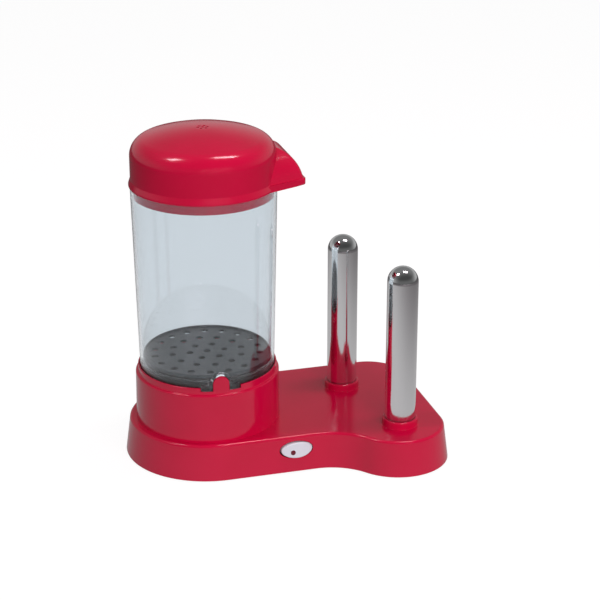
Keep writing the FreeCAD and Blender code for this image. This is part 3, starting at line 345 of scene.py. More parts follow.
# %% [markdown]
# The red is pigmented ABS from a polished mould. Its skin is glossy and almost even, with the faint orange
# peel of moulded plastic and slightly duller clouds where it has been handled.


# %% Glossy crimson ABS
def moulded_abs(name, first, second, low_gloss=0.13, high_gloss=0.18):
    """Pigmented ABS: close clouds of colour and gloss, and a shallow orange peel."""
    material, tree, shader = new_finish(name, IOR=1.53)
    mottled(tree, shader, spread(tree, grain(tree, size_mm=45), 0, 1), first, second)
    gloss = spread(tree, grain(tree, size_mm=30), low_gloss, high_gloss)
    tree.links.new(gloss, shader.inputs["Roughness"])
    bumped(tree, shader, grain(tree, size_mm=9, detail=0), depth_mm=0.004, strength=0.12)
    return material


red_abs = moulded_abs("crimson_abs", "#C4053A", "#BE0436")
white_abs = moulded_abs("pale_switch_abs", "#DDE3E7", "#D6DEE4", 0.18, 0.24)

# %% [markdown]
# The container is clear styrene acrylonitrile, which is hard and glossy and looks a little grey in its
# thickness. Its foot is scuffed by being set down, so it is rougher there. The tray and the dish are
# aluminium under a non-stick coating, with a fine pebble. The spikes are chromed, with fine lines along them.

# %% Clear, grey and metal finishes
scuff_full, scuff_end = seat + 9 * MM, seat + 17 * MM


def clear_styrene():
    """Clear styrene acrylonitrile, scuffed near its foot."""
    material, tree, shader = new_finish("clear_san", IOR=1.57, Transmission_Weight=1.0)
    shader.inputs["Base Color"].default_value = colour("#E3E9ED")
    place = add(tree, "ShaderNodeSeparateXYZ", {"Vector": add(tree, "ShaderNodeTexCoord").outputs["Object"]})
    scuffed = add(tree, "ShaderNodeMapRange", {"Value": place.outputs["Z"], "From Min": scuff_full,
                                               "From Max": scuff_end, "To Min": 0.22, "To Max": 0.0})
    gloss = spread(tree, grain(tree, size_mm=20, detail=3), 0.015, 0.05)
    both = add(tree, "ShaderNodeMath", {0: gloss, 1: scuffed.outputs["Result"]}, operation="ADD")
    tree.links.new(both.outputs[0], shader.inputs["Roughness"])
    bumped(tree, shader, grain(tree, size_mm=18, detail=1, stretch=(1, 1, 0.3)), depth_mm=0.05, strength=0.2)
    return material


def coated_aluminium(name, first, second, gloss=(0.32, 0.45)):
    """Aluminium sheet under a dark non-stick coating with a fine pebble."""
    material, tree, shader = new_finish(name, IOR=1.45)
    mottled(tree, shader, spread(tree, grain(tree, size_mm=12, detail=4), 0, 1), first, second)
    tree.links.new(spread(tree, grain(tree, size_mm=3, detail=3), *gloss), shader.inputs["Roughness"])
    bumped(tree, shader, grain(tree, size_mm=0.7), depth_mm=0.03, strength=0.5)
    return material


def polished_steel(name, tint="#EBECED", gloss=(0.06, 0.14)):
    """Chromed or polished metal with fine drawn lines along its height."""
    material, tree, shader = new_finish(name, Metallic=1.0)
    shader.inputs["Base Color"].default_value = colour(tint)
    lines = grain(tree, size_mm=1.2, stretch=(1, 1, 0.04))
    tree.links.new(spread(tree, lines, *gloss), shader.inputs["Roughness"])
    return material


def matt_plastic(name, first, second):
    """Plain engineering plastic with a spark-eroded skin."""
    material, tree, shader = new_finish(name, IOR=1.5)
    mottled(tree, shader, spread(tree, grain(tree, size_mm=8, detail=3), 0, 1), first, second)
    tree.links.new(spread(tree, grain(tree, size_mm=4), 0.5, 0.62), shader.inputs["Roughness"])
    bumped(tree, shader, grain(tree, size_mm=0.5), depth_mm=0.03, strength=0.6)
    return material


clear_san = clear_styrene()
tray_coating = coated_aluminium("grey_coated_tray", "#33383C", "#2A2F33")
dish_coating = coated_aluminium("black_coated_dish", "#1C1F22", "#15181A", (0.25, 0.38))
chrome = polished_steel("chromed_spike")
zinc_steel = polished_steel("zinc_plated_steel", "#B9BBBE", (0.3, 0.45))
heater_sheath = polished_steel("heat_tinted_sheath", "#8C8074", (0.35, 0.5))
can_aluminium = polished_steel("pressed_aluminium", "#C9CACC", (0.35, 0.5))
contact_brass = polished_steel("contact_brass", "#C9A35A", (0.2, 0.35))
black_plastic = matt_plastic("black_moulding", "#1D1D1F", "#161618")
black_rubber = matt_plastic("black_rubber", "#1A1A1A", "#232323")
seal_rubber = matt_plastic("silicone_seal", "#8E3A2C", "#82342A")
steatite = matt_plastic("unglazed_steatite", "#E6E0D2", "#DDD6C6")
white_nylon = matt_plastic("white_nylon", "#E2E0D8", "#DAD7CE")


# %% The lens and the lamp's glass
def tinted(name, first, second, **sockets):
    """A smooth piece whose tint varies a little."""
    material, tree, shader = new_finish(name, **sockets)
    mottled(tree, shader, spread(tree, grain(tree, size_mm=2), 0, 1), first, second)
    return material


red_lens = tinted("dark_red_lens", "#5C1526", "#6A1A2C", IOR=1.49, Roughness=0.12)
neon_glass = tinted("lamp_glass", "#F0C8B0", "#E8B89C", IOR=1.5, Roughness=0.08, Transmission_Weight=0.8)
print("finishes:", len(bpy.data.materials))

# %% [markdown]
# ## The base
# The base is one moulding. Its plan is a round lobe under the pedestal, a waist in front, a nose that carries
# the front spike, and a rounded corner behind. Its wall leans outwards to the foot, so that it leaves the
# mould. The pen walks the plan at the foot and at the top, and the two outlines are bridged into the wall.

# %% Sizes of the base's plan
flare = 4.0 * MM
base_height = base_top - base_foot
lean = math.atan2(flare, base_height)
lobe_radius = 65.3 * MM
nose_radius = 39.1 * MM
waist_radius = 50.7 * MM
corner_radius = 32.6 * MM
right_x = 184.7 * MM
nose_y = -61.6 * MM
nose = Vector((right_x - nose_radius, nose_y, 0))
waist_y = -lobe_radius - waist_radius
nose_to_waist = nose_radius + waist_radius
waist = Vector((nose.x - math.sqrt(nose_to_waist**2 - (nose.y - waist_y) ** 2), waist_y, 0))
corner = Vector((right_x - corner_radius, lobe_radius - corner_radius, 0))
meeting = math.atan2(nose.y - waist.y, nose.x - waist.x)
lobe_steps, waist_steps, nose_steps, corner_steps = 72, 20, 44, 30
print(f"waist centre at x {waist.x / MM:.1f} mm, it meets the nose at {math.degrees(meeting):.1f} degrees")


# %% Walk the base's plan
def walk_plan(bm, grow, level):
    """The base's closed outline at a level, grown outwards, and its edges."""
    before = set(bm.edges)
    start = bm.verts.new((0, lobe_radius + grow, level))
    pen = turn_by(bm, start, (0, 0, level), math.pi, lobe_steps)
    pen = run_to(bm, pen, (waist.x, -lobe_radius - grow, level))
    pen = turn_by(bm, pen, (waist.x, waist.y, level), meeting - math.pi / 2, waist_steps)
    pen = turn_by(bm, pen, (nose.x, nose.y, level), math.pi - meeting, nose_steps)
    pen = run_to(bm, pen, (right_x + grow, corner.y, level))
    pen = turn_by(bm, pen, (corner.x, corner.y, level), math.pi / 2, corner_steps)
    bm.edges.new((pen, start))
    return [edge for edge in bm.edges if edge not in before]


def lean_at(level):
    """How far the wall stands outside the top's outline at a level."""
    return flare * (base_top - level) / base_height


def open_edges(bm, level):
    """The edges at a level that have a face missing."""
    return [edge for edge in bm.edges if len(edge.link_faces) < 2
            and all(abs(vert.co.z - level) < WELD for vert in edge.verts)]


def circle_edges(bm, count, radius, place_at):
    """Lays a circle, and gives its edges."""
    made = bmesh.ops.create_circle(bm, segments=count, radius=radius, matrix=place_at)["verts"]
    return list({edge for vert in made for edge in vert.link_edges})


# %% [markdown]
# The opening for the switch is an oval in the flat stretch of the front wall, and the cord's opening is a
# circle in the back wall. Both are made the same way: the flat faces are taken out, rings are laid in their
# planes, the space between each face's border and its ring is filled, and the two rings are bridged.

# %% Openings in the flat walls
# Faces look the same way when the cosine between them is above the first. The flat faces of the walls are
# the only ones there that are larger than the second, in square metres.
SAME_WAY = 0.99
wall_face_area = 4e-4
switch_x, switch_rise = 57.9 * MM, 18.5 * MM
gland_x, gland_rise = 70.0 * MM, 14.0 * MM


def wall_place(x, level, side):
    """A place on the leaning front (-1) or back (1) wall, with its own Z pointing outwards."""
    point = Vector((x, side * (lobe_radius + lean_at(level)), level))
    return Matrix.Translation(point) @ Matrix.Rotation(-side * (math.pi / 2 - lean), 4, "X")


def open_wall(bm, place_at, half_length, half_width, rounding):
    """Opens a flat double wall with an oval hole whose outer edge is rounded."""
    outward = (place_at.to_3x3() @ UP).normalized()
    rings = []
    for depth, sign in ((0.0, 1), (top_wall * math.cos(lean), -1)):
        level = place_at @ Vector((0, 0, -depth))
        flat = [face for face in bm.faces if face.normal.dot(outward) * sign > SAME_WAY
                and face.calc_area() > wall_face_area
                and abs((face.calc_center_median() - level).dot(outward)) < 0.3 * MM]
        border = list({edge for face in flat for edge in face.edges})
        bmesh.ops.delete(bm, geom=flat, context="FACES_ONLY")
        oval = Matrix.Translation((0, 0, -depth)) @ Matrix.Diagonal((half_length, half_width, 1, 1))
        ring = circle_edges(bm, 72, 1.0, place_at @ oval)
        bmesh.ops.triangle_fill(bm, edges=border + ring, use_beauty=True, use_dissolve=False)
        rings.append(ring)
    bmesh.ops.bridge_loops(bm, edges=rings[0] + rings[1])
    round_edges(bm, rings[0], rounding, 3)


switch_place = wall_place(switch_x, base_foot + switch_rise, -1)
gland_place = wall_place(gland_x, base_foot + gland_rise, 1)
print("switch at", [round(v / MM, 1) for v in switch_place.translation])

# %% [markdown]
# Each spike collar is a turned section that starts on the top plate and ends below it. The plate is filled
# between the base's outline, the collars' rings and the mouth under the pedestal, which welds them together.

# %% Collars on the top plate
spike_radius, mouth_radius = 12.7, 57.2
collar_root, collar_foot, collar_head, collar_rise = 15.4, 15.0, 14.5, 6.0
collar_bore = spike_radius - 0.15
z_top, z_under = base_top / MM, ceiling / MM
collar_section = [
    (collar_root, z_top), (collar_foot, z_top, 0.3), (collar_head, z_top + collar_rise, 1.3),
    (collar_bore, z_top + collar_rise, 0.3), (collar_bore, z_under),
]
spike_centres = {}
for spike_side in ("front", "back"):
    spike_low, spike_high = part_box(f"spike_{spike_side}")
    spike_centres[spike_side] = (spike_low + spike_high) / 2
print("spikes at", {name: [round(v / MM, 1) for v in centre.xy] for name, centre in spike_centres.items()})

# %% Model the base
top_rounding = 2.0 * MM
switch_half_length, switch_half_width, switch_rounding = 14.2 * MM, 7.2 * MM, 0.35 * MM
gland_hole, gland_rounding = 6.05 * MM, 0.2 * MM


def build_base():
    """The base's double wall, with its mouth, collars and openings."""
    bm = bmesh.new()
    foot_ring, top_ring = walk_plan(bm, flare, base_foot), walk_plan(bm, 0, base_top)
    bmesh.ops.bridge_loops(bm, edges=foot_ring + top_ring)
    bmesh.ops.contextual_create(bm, geom=top_ring)
    round_edges(bm, top_ring, top_rounding, 6)
    plates = [face for face in bm.faces if abs(face.normal.z) > SAME_WAY]
    bmesh.ops.delete(bm, geom=[max(plates, key=lambda face: face.calc_area())], context="FACES_ONLY")
    inner_foot = walk_plan(bm, flare - top_wall, base_foot)
    inner_top = walk_plan(bm, lean_at(ceiling) - top_wall, ceiling)
    bmesh.ops.bridge_loops(bm, edges=inner_foot + inner_top)
    mouth = []
    for level in (base_top, ceiling):
        mouth += circle_edges(bm, 192, mouth_radius * MM, Matrix.Translation((0, 0, level)))
    bmesh.ops.bridge_loops(bm, edges=mouth)
    join_into(bm, *(turned(collar_section, 72, centre, opened=True) for centre in spike_centres.values()))
    for level in (base_foot, base_top, ceiling):
        bmesh.ops.triangle_fill(bm, edges=open_edges(bm, level), use_beauty=True, use_dissolve=False)
    bmesh.ops.recalc_face_normals(bm, faces=bm.faces)
    bm.normal_update()
    open_wall(bm, switch_place, switch_half_length, switch_half_width, switch_rounding)
    open_wall(bm, gland_place, gland_hole, gland_hole, gland_rounding)
    return bm


finished("base", build_base(), "base", red_abs, node="base_housing")

# %% [markdown]
# ## The pedestal
# The pedestal is a second red moulding, welded to the top plate. It has a narrow ledge, a lip round the well
# that the container drops into, and in front a round-topped tab that keeps the container from turning. It is
# turned from its section, the lip is cut back beside the tab, and the tab is bent round the well.

# %% Turn the pedestal
pedestal_foot, pedestal_head, well_outside = 59.8, 59.3, 56.7
lip_radius, well_radius, seat_opening, seat_wall = 57.3, 56.0, 47.0, 2.6
z_crest, z_lip, z_seat = crest / MM, lip_top / MM, seat / MM
z_shelf = z_seat - seat_wall
pedestal_section = [
    (mouth_radius, z_top), (pedestal_foot, z_top), (pedestal_head, z_crest, 1.2), (lip_radius, z_crest, 0.7),
    (lip_radius, z_lip, 0.5), (well_radius, z_lip, 0.4), (well_radius, z_seat, 0.5),
    (seat_opening, z_seat, 0.5), (seat_opening, z_shelf, 0.5), (well_outside, z_shelf, 0.8),
]
print(f"pedestal: ledge at {z_crest:.1f} mm, lip at {z_lip:.1f} mm, seat at {z_seat:.1f} mm")

# %% Bend the tab and cut the lip back
tab_x, tab_half, tab_rise, tab_foot, tab_proud = -1.8, 6.65, 9.6, 1.5, 0.03
recess_low, recess_half, recess_past = z_crest + 2.85, 16.45, 1.0


def arch_path(half, low, high):
    """A round-topped outline about the tab's middle."""
    left, right, centre = tab_x - half, tab_x + half, high - half
    return [(right, low), (right, centre), ("turn", tab_x, centre, -180), (left, low)]


def recess(start, end):
    """A bent block that cuts the lip back between two places beside the tab's middle."""
    left, right, high = tab_x + start, tab_x + end, z_lip + recess_past
    path = [(left, recess_low), (right, recess_low), (right, high), (left, high)]
    return slab_round_front(path, well_radius - recess_past, lip_radius + recess_past, 0)


tab_path = arch_path(tab_half, z_crest + tab_foot, z_lip + tab_rise)
tab = slab_round_front(tab_path, well_radius - tab_proud, lip_radius + tab_proud, 0.4)
pedestal_mesh = carved(turned(pedestal_section, 192), ("DIFFERENCE", recess(-recess_half, -tab_half)),
                       ("DIFFERENCE", recess(tab_half, recess_half)))
finished("pedestal", join_into(pedestal_mesh, tab), "base", red_abs)

# %% [markdown]
# ## The container
# The container is a clear tapered wall, with a ledge inside that carries the tray. A bead runs round the
# notch for the pedestal's tab and ends in two feet. The bead is united with the wall, so that no hidden face
# inside the clear plastic bends the light, and the notch is taken from both.

# %% Section of the container
foot_radius, rim_radius, shell = 55.35, 58.9, 2.2
ledge_rise, ledge_depth, ledge_thickness = 13.7, 3.4, 2.0
z_container, z_ledge = container_top / MM, z_seat + ledge_rise
z_ledge_under = z_ledge - ledge_thickness
taper = (rim_radius - foot_radius) / (z_container - z_seat)


def inner_at(level):
    """The container's inner radius at a level."""
    return foot_radius - shell + taper * (level - z_seat)


ledge_radius = inner_at(z_ledge) - ledge_depth
container_section = [
    (foot_radius - shell, z_seat, 0.4), (foot_radius, z_seat, 0.5), (rim_radius, z_container, 0.6),
    (rim_radius - shell, z_container, 0.6), (inner_at(z_ledge), z_ledge, 0.3), (ledge_radius, z_ledge, 0.4),
    (ledge_radius, z_ledge_under, 0.4), (inner_at(z_ledge_under), z_ledge_under, 0.5),
]
print(f"the container's wall leans {math.degrees(math.atan(taper)):.2f} degrees")

# %% Model the container
notch_gap, bead_width, bead_sunk, bead_proud, bead_rounding = 0.7, 2.8, 1.0, 2.1, 0.7
notch_half, notch_high = tab_half + notch_gap, z_lip + tab_rise + notch_gap
notch_inside, notch_outside = 50, 60
bead_half, bead_low, bead_high = notch_half + bead_width, z_crest + 2.9, notch_high + bead_width
foot_half, z_foot = notch_half + 8.4, bead_low + 5.0
bead_centre = bead_high - bead_half
bead_path = [
    (tab_x + foot_half, bead_low, 0.6), (tab_x + foot_half, z_foot, 1.2), (tab_x + bead_half, z_foot, 1.0),
    (tab_x + bead_half, bead_centre), ("turn", tab_x, bead_centre, -180), (tab_x - bead_half, z_foot, 1.0),
    (tab_x - foot_half, z_foot, 1.2), (tab_x - foot_half, bead_low, 0.6),
]
bead = slab_round_front(bead_path, foot_radius - bead_sunk, foot_radius + bead_proud, bead_rounding)
notch = slab_round_front(arch_path(notch_half, z_seat - 3, notch_high), notch_inside, notch_outside, 0)
container_mesh = carved(turned(container_section, 192), ("UNION", bead), ("DIFFERENCE", notch))
finished("container", container_mesh, "container", clear_san)

# %% [markdown]
# ## The steam tray
# The tray is a pressed aluminium disc with a turned-up rim. Thirty-seven holes let the steam through: one in
# the middle and rings of six, twelve and eighteen. Rings of edges are laid for the holes on both faces, the
# discs are filled round them, and each pair of rings is bridged.

# %% A disc with round holes
def perforated(rim_path, levels, holes, hole_radius, around, steps=160):
    """A turned rim filled with a disc that has round holes."""
    bm = turned(rim_path, steps, opened=True)
    pairs = [[] for _ in holes]
    for level in levels:
        for pair, (x, y) in zip(pairs, holes):
            place_at = Matrix.Translation((x * MM, y * MM, level * MM))
            pair += circle_edges(bm, around, hole_radius * MM, place_at)
        bmesh.ops.triangle_fill(bm, edges=open_edges(bm, level * MM), use_beauty=True, use_dissolve=False)
    for pair in pairs:
        bmesh.ops.bridge_loops(bm, edges=pair)
    return bm


def rings_of_holes(pitch, counts):
    """A hole in the middle and rings of holes about it."""
    holes = [(0, 0)]
    for ring, count in enumerate(counts, start=1):
        for index in range(count):
            angle = math.tau * index / count
            holes.append((pitch * ring * math.cos(angle), pitch * ring * math.sin(angle)))
    return holes


# %% Model the tray
tray_sheet, rim_rise, rim_wall, rim_land, tray_gap = 1.8, 3.2, 1.5, 3.5, 0.5
steam_pitch, steam_counts, steam_radius = 14.5, (6, 12, 18), 3.0
z_tray, z_tray_floor = tray_level / MM, tray_level / MM + tray_sheet
tray_edge = foot_radius + taper * ledge_rise - shell - tray_gap
rim_section = [
    (tray_edge - rim_land, z_tray), (tray_edge, z_tray, 0.9), (tray_edge, z_tray + rim_rise, 0.5),
    (tray_edge - rim_wall, z_tray + rim_rise, 0.5), (tray_edge - rim_wall, z_tray_floor, 0.6),
    (tray_edge - rim_land, z_tray_floor),
]
steam_holes = rings_of_holes(steam_pitch, steam_counts)
tray_mesh = perforated(rim_section, (z_tray, z_tray_floor), steam_holes, steam_radius, around=24)
finished("steam_tray", tray_mesh, "tray", tray_coating)

# %% [markdown]
# ## The lid
# The lid is a red cap with a short lip, an upright side, a round shoulder and a shallow crown with seven
# steam holes. The pen walks the whole wall, inside and out, and the middle of the crown is filled as the
# tray's is.

# %% Turn the lid
lid_foot, lid_wall = z_container, 2.2
lid_side, shoulder_bend, crown_radius = 58.5, 15.2, 152.0
shoulder_x, z_shoulder = lid_side - shoulder_bend, lid_foot + 24.3
crown_tilt = math.degrees(math.asin(shoulder_x / (crown_radius - shoulder_bend)))
crown_centre = z_shoulder - math.sqrt((crown_radius - shoulder_bend) ** 2 - shoulder_x**2)
plug_inside, plug_outside, z_plug = 54.6, 56.2, lid_foot - 8.0
lip_reach, z_lid_lip, z_side = 60.0, lid_foot + 1.5, lid_foot + 6.0
vent_plate, vent_pitch, vent_radius = 7.5, 3.9, 1.2


def crown_at(radius, depth):
    """The level of the crown at a radius, some depth under its skin."""
    return crown_centre + math.sqrt((crown_radius - depth) ** 2 - radius**2)


outer_turn = crown_tilt - math.degrees(math.asin(vent_plate / crown_radius))
inner_turn = crown_tilt - math.degrees(math.asin(vent_plate / (crown_radius - lid_wall)))
lid_section = [
    (vent_plate, crown_at(vent_plate, lid_wall)), ("turn", 0, crown_centre, inner_turn),
    ("turn", shoulder_x, z_shoulder, 90 - crown_tilt), (lid_side - lid_wall, z_lid_lip, 0.5),
    (plug_inside, z_lid_lip), (plug_inside, z_plug, 0.6), (plug_outside, z_plug, 0.6),
    (plug_outside, lid_foot, 0.3), (lip_reach, lid_foot, 0.5), (lip_reach, z_lid_lip, 0.9),
    (lid_side, z_side, 2.0), (lid_side, z_shoulder), ("turn", shoulder_x, z_shoulder, crown_tilt - 90),
    ("turn", 0, crown_centre, -outer_turn),
]
vent_levels = (crown_at(vent_plate, 0), crown_at(vent_plate, lid_wall))
lid_mesh = perforated(lid_section, vent_levels, rings_of_holes(vent_pitch, (6,)), vent_radius, 20, 192)
print(f"the crown meets the shoulder at {crown_tilt:.1f} degrees")

# %% [markdown]
# The grip is a hollow scoop on the side of the lid. Its mouth is a trapezoid that widens towards the lid, and
# from there it closes like a dome: a quarter ellipse seen from the side and half an ellipse seen from its
# end. The pen walks the side profile, which is drawn out across, cut into levels and narrowed level by level.
# The inside of the lid's wall is then taken out of it, so that it ends there.

# %% Sizes of the grip
grip_tip, grip_half, grip_spread, grip_wall = 77.5, 26.3, 0.4, 2.0
grip_rise, grip_run, grip_arch = 29.0, 25.7, 29.6
brim_rise, brim_proud, brim_overhang, grip_rounding = 5.5, 1.4, 0.25, 2.0 * MM
grip_back = lid_side - grip_run


def spread_to_lid(bm, tip):
    """Widens a block from its tip towards the lid."""
    for vert in bm.verts:
        vert.co.y += math.copysign(grip_spread * (tip * MM - vert.co.x), vert.co.y)
    return bm


def arched(bm, arch, levels=18):
    """Cuts a block into levels and narrows them upwards into half an ellipse."""
    for level in range(1, levels):
        height = lid_foot + arch * math.sin(level / levels * math.pi / 2)
        cut_at(bm, (0, 0, height * MM), UP)
    for vert in bm.verts:
        share = max(0.0, (vert.co.z / MM - lid_foot) / arch)
        vert.co.y *= math.sqrt(1 - share**2)
    return bm


# %% Model the grip
def scoop(shrink, drop):
    """The scoop's form, or with a shrink the hollow inside it, down to some depth under its mouth."""
    tip, rise, run = grip_tip - brim_proud - shrink, grip_rise - shrink, grip_run - shrink
    centre, high, low = tip - run, lid_foot + rise, lid_foot - drop
    path = [(grip_back, low), (grip_back, high), (centre, high), ("turn", centre, lid_foot, 90)]
    if drop:
        path.append((centre + rise, low))
    half = grip_half - brim_overhang - shrink
    bm = drawn_out(path, -half, 2 * half)
    for vert in bm.verts:
        past = max(0.0, vert.co.x - centre * MM)
        vert.co.x = min(vert.co.x, centre * MM) + past * run / rise
    if not shrink:
        ridge = [edge for edge in bm.edges if any(abs(face.normal.y) > 0.9 for face in edge.link_faces)
                 and all(vert.co.z > (lid_foot + 1) * MM for vert in edge.verts)
                 and edge.calc_face_angle(0) > 1
                 and any(vert.co.x > (grip_back + 1) * MM for vert in edge.verts)]
        round_edges(bm, ridge, grip_rounding, 5)
    return arched(spread_to_lid(bm, tip), grip_arch - shrink)


def brim():
    """The brim round the scoop's mouth, with rounded front corners."""
    high = lid_foot + brim_rise
    path = [(grip_back, lid_foot), (grip_back, high), (grip_tip, high, 0.6), (grip_tip, lid_foot, 0.5)]
    bm = spread_to_lid(drawn_out(path, -grip_half, 2 * grip_half), grip_tip)
    posts = [edge for edge in bm.edges if edge.calc_face_angle(0) > 0.9
             and all(vert.co.x > (grip_tip - 1) * MM for vert in edge.verts)
             and abs(edge.verts[0].co.y - edge.verts[1].co.y) < MM]
    round_edges(bm, posts, grip_rounding, 5)
    return bm


inside_x, inside_foot = lid_side - lid_wall / 2, lid_foot - 2
lid_inside = turned([(0, inside_foot), (inside_x, inside_foot), (inside_x, z_shoulder),
                     ("turn", shoulder_x, z_shoulder, -90), (0, z_shoulder + shoulder_bend - lid_wall / 2)],
                    192, opened=True)
grip_mesh = carved(scoop(0, 0), ("UNION", brim()), ("DIFFERENCE", scoop(grip_wall, 1)),
                   ("DIFFERENCE", lid_inside))
finished("lid", join_into(lid_mesh, grip_mesh), "lid", red_abs)

# %% [markdown]
# ## The spikes
# Each spike is a drawn steel tube with a round closed tip and a flange under the top plate, chromed all over.
# Just above the collar it is necked in a little. The tube is turned once for each spike.

# %% Turn the spikes
spike_wall, spike_neck, flange_radius = 1.0, 0.3, 17.0
z_flange, z_neck = z_under - spike_flange / MM, z_top + 6.8
z_tip = spike_tip / MM
z_tip_centre = z_tip - spike_radius
spike_section = [
    (0, z_tip - spike_wall), ("turn", 0, z_tip_centre, 90), (spike_radius - spike_wall, z_flange, 0.3),
    (flange_radius, z_flange, 0.3), (flange_radius, z_under, 0.3), (spike_radius - spike_neck, z_under, 0.3),
    (spike_radius - spike_neck, z_neck), (spike_radius, z_neck + 0.4), (spike_radius, z_tip_centre),
    ("turn", 0, z_tip_centre, -90),
]
for name, centre in spike_centres.items():
    finished(f"spike_{name}", turned(spike_section, 96, centre, opened=True), "base", chrome)

# %% [markdown]
# ## The switch
# The rocker is an oval button with a bowed face and a soft rim, pressed in at its right end. It begins as an
# oval disc, is drawn up, inset into rings and bowed, and its rim is bevelled. A small dark red lens sits in
# its face.

# %% Model the rocker
rocker_half_length, rocker_half_width = 13.5 * MM, 6.5 * MM
rocker_crest, rocker_bow, rocker_skirt, rocker_rounding = 2.8 * MM, 36.0 * MM, 4.0 * MM, 0.7 * MM
pivot_depth, rocker_tilt = 5.0 * MM, 6
ring_shares = (0.86, 0.8, 0.72, 0.6, 0.4)
to_pivot = Matrix.Translation((0, 0, -pivot_depth))
tilted = Matrix.Rotation(math.radians(rocker_tilt), 4, "Y")
rocker_place = switch_place @ to_pivot @ tilted @ to_pivot.inverted()


def build_rocker():
    """The oval button. Each ring in its face is a share of the ring before."""
    bm = bmesh.new()
    oval = Matrix.Diagonal((rocker_half_length, rocker_half_width, 1, 1))
    bmesh.ops.create_circle(bm, cap_ends=True, segments=96, radius=1.0,
                            matrix=Matrix.Translation((0, 0, -rocker_skirt)) @ oval)
    made = bmesh.ops.extrude_face_region(bm, geom=bm.faces[:])["geom"]
    face = [item for item in made if isinstance(item, bmesh.types.BMFace)][0]
    bmesh.ops.translate(bm, verts=face.verts, vec=(0, 0, rocker_skirt + rocker_crest))
    rim = face.edges[:]
    for share in ring_shares:
        bmesh.ops.inset_region(bm, faces=[face], thickness=0)
        bmesh.ops.scale(bm, vec=(share, share, 1), verts=face.verts)
    for vert in bm.verts:
        if vert.co.z > 0:
            vert.co.z = rocker_crest - rocker_bow + math.sqrt(rocker_bow**2 - vert.co.x**2)
    bmesh.ops.recalc_face_normals(bm, faces=bm.faces)
    round_edges(bm, rim, rocker_rounding, 5)
    bmesh.ops.transform(bm, matrix=rocker_place, verts=bm.verts)
    return bm


finished("rocker", build_rocker(), "rocker", white_abs, sharp=50)

# %% Turn the lens
lens_radius, lens_foot, lens_edge, lens_top = 2.1, 0.45, 2.85, 3.05
lens_centre = Matrix.Translation((-4.3 * MM, -1.5 * MM, 0))
lens_section = [(0, lens_foot), (lens_radius, lens_foot), (lens_radius, lens_edge, 0.4), (0, lens_top)]
lens_mesh = turned(lens_section, 40, opened=True)
bmesh.ops.transform(lens_mesh, matrix=rocker_place @ lens_centre, verts=lens_mesh.verts)
finished("indicator_lens", lens_mesh, "rocker", red_lens, sharp=60)

# %% [markdown]
# ## Dish, feet and cord gland
# The water dish hangs in the pedestal by its rim. The rubber feet push through holes in the bottom cover, and
# the gland lines the cord's opening in the back wall. All are turned, and the gland is laid on the wall.

# %% Turn the dish
dish_sheet, dish_depth, bowl_foot, bowl_mouth, dish_reach = 1.2, 18.8, 43.0, 45.0, 52.6
gasket, stud_radius, stud_length = 1.2, 2.5, 17.2
dish_rim = z_seat + gasket
dish_floor = dish_rim - dish_depth
z_stud = dish_floor - dish_sheet - stud_length
dish_section = [
    (0, z_stud), (stud_radius, z_stud, 0.4), (stud_radius, dish_floor - dish_sheet, 0.5),
    (bowl_foot + dish_sheet, dish_floor - dish_sheet, 4.2), (bowl_mouth + dish_sheet, dish_rim, 0.5),
    (dish_reach, dish_rim, 0.3), (dish_reach, dish_rim + dish_sheet, 0.4),
    (bowl_mouth, dish_rim + dish_sheet, 0.8), (bowl_foot, dish_floor, 3.0), (0, dish_floor),
]
dish_mesh = turned(dish_section, 160, opened=True)
finished("heating_dish", dish_mesh, "base", dish_coating)

# %% Turn the feet
cover_under, cover_upper, barb_rise = 1.8, 3.8, 1.8
pad_radius, stem_radius, barb_radius = 8.0, 2.9, 4.0
foot_section = [
    (0, 0), (pad_radius, 0, 1.0), (pad_radius, cover_under, 0.4), (stem_radius, cover_under),
    (stem_radius, cover_upper), (barb_radius, cover_upper), (stem_radius, cover_upper + barb_rise),
    (0, cover_upper + barb_rise),
]
for name in ("left_front", "left_back", "right_front", "right_back"):
    foot_low, foot_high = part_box(f"rubber_foot_{name}")
    foot_mesh = turned(foot_section, 48, (foot_low + foot_high) / 2, opened=True)
    finished(f"rubber_foot_{name}", foot_mesh, "base", black_rubber)

# %% Turn the gland
gland_bore, gland_body, gland_snap, gland_collar, gland_face = 3.6, 6.0, 6.9, 8.0, 7.4
gland_inside, snap_low, snap_high, gland_outside = -7.6, -3.5, -2.6, 2.2
gland_section = [
    (gland_bore, gland_inside, 0.4), (gland_body, gland_inside, 0.4), (gland_snap, snap_low),
    (gland_snap, snap_high), (gland_body, snap_high), (gland_body, 0), (gland_collar, 0, 0.2),
    (gland_face, gland_outside, 0.6), (gland_bore, gland_outside, 0.6),
]
gland_mesh = turned(gland_section, 64)
bmesh.ops.transform(gland_mesh, matrix=gland_place, verts=gland_mesh.verts)
finished("cord_gland", gland_mesh, "base", black_plastic)

# %% [markdown]
# ## The pieces that keep their construction mesh
# The bottom cover, the heaters, the screws and the other inner pieces are right as the construction model has
# them, so each keeps its mesh and only gets the finish of its material.

# %% Dress the inner pieces
finish_of = {
    "red_plastic": red_abs, "dark_plastic": black_plastic, "zinc_steel": zinc_steel,
    "foot_rubber": black_rubber, "seal_rubber": seal_rubber, "dish_coating": dish_coating,
    "heater_sheath": heater_sheath, "can_aluminium": can_aluminium, "sleeve_white": white_nylon,
    "spike_chrome": chrome, "ceramic": steatite, "contact_brass": contact_brass, "lamp_glass": neon_glass,
    "switch_white": white_abs, "lens_red": red_lens, "clear_wall": clear_san, "tray_grey": tray_coating,
}
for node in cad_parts.values():
    for slot in node.material_slots:
        slot.material = finish_of[slot.material.name.split(".")[0]]
print("construction nodes dressed:", len(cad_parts))

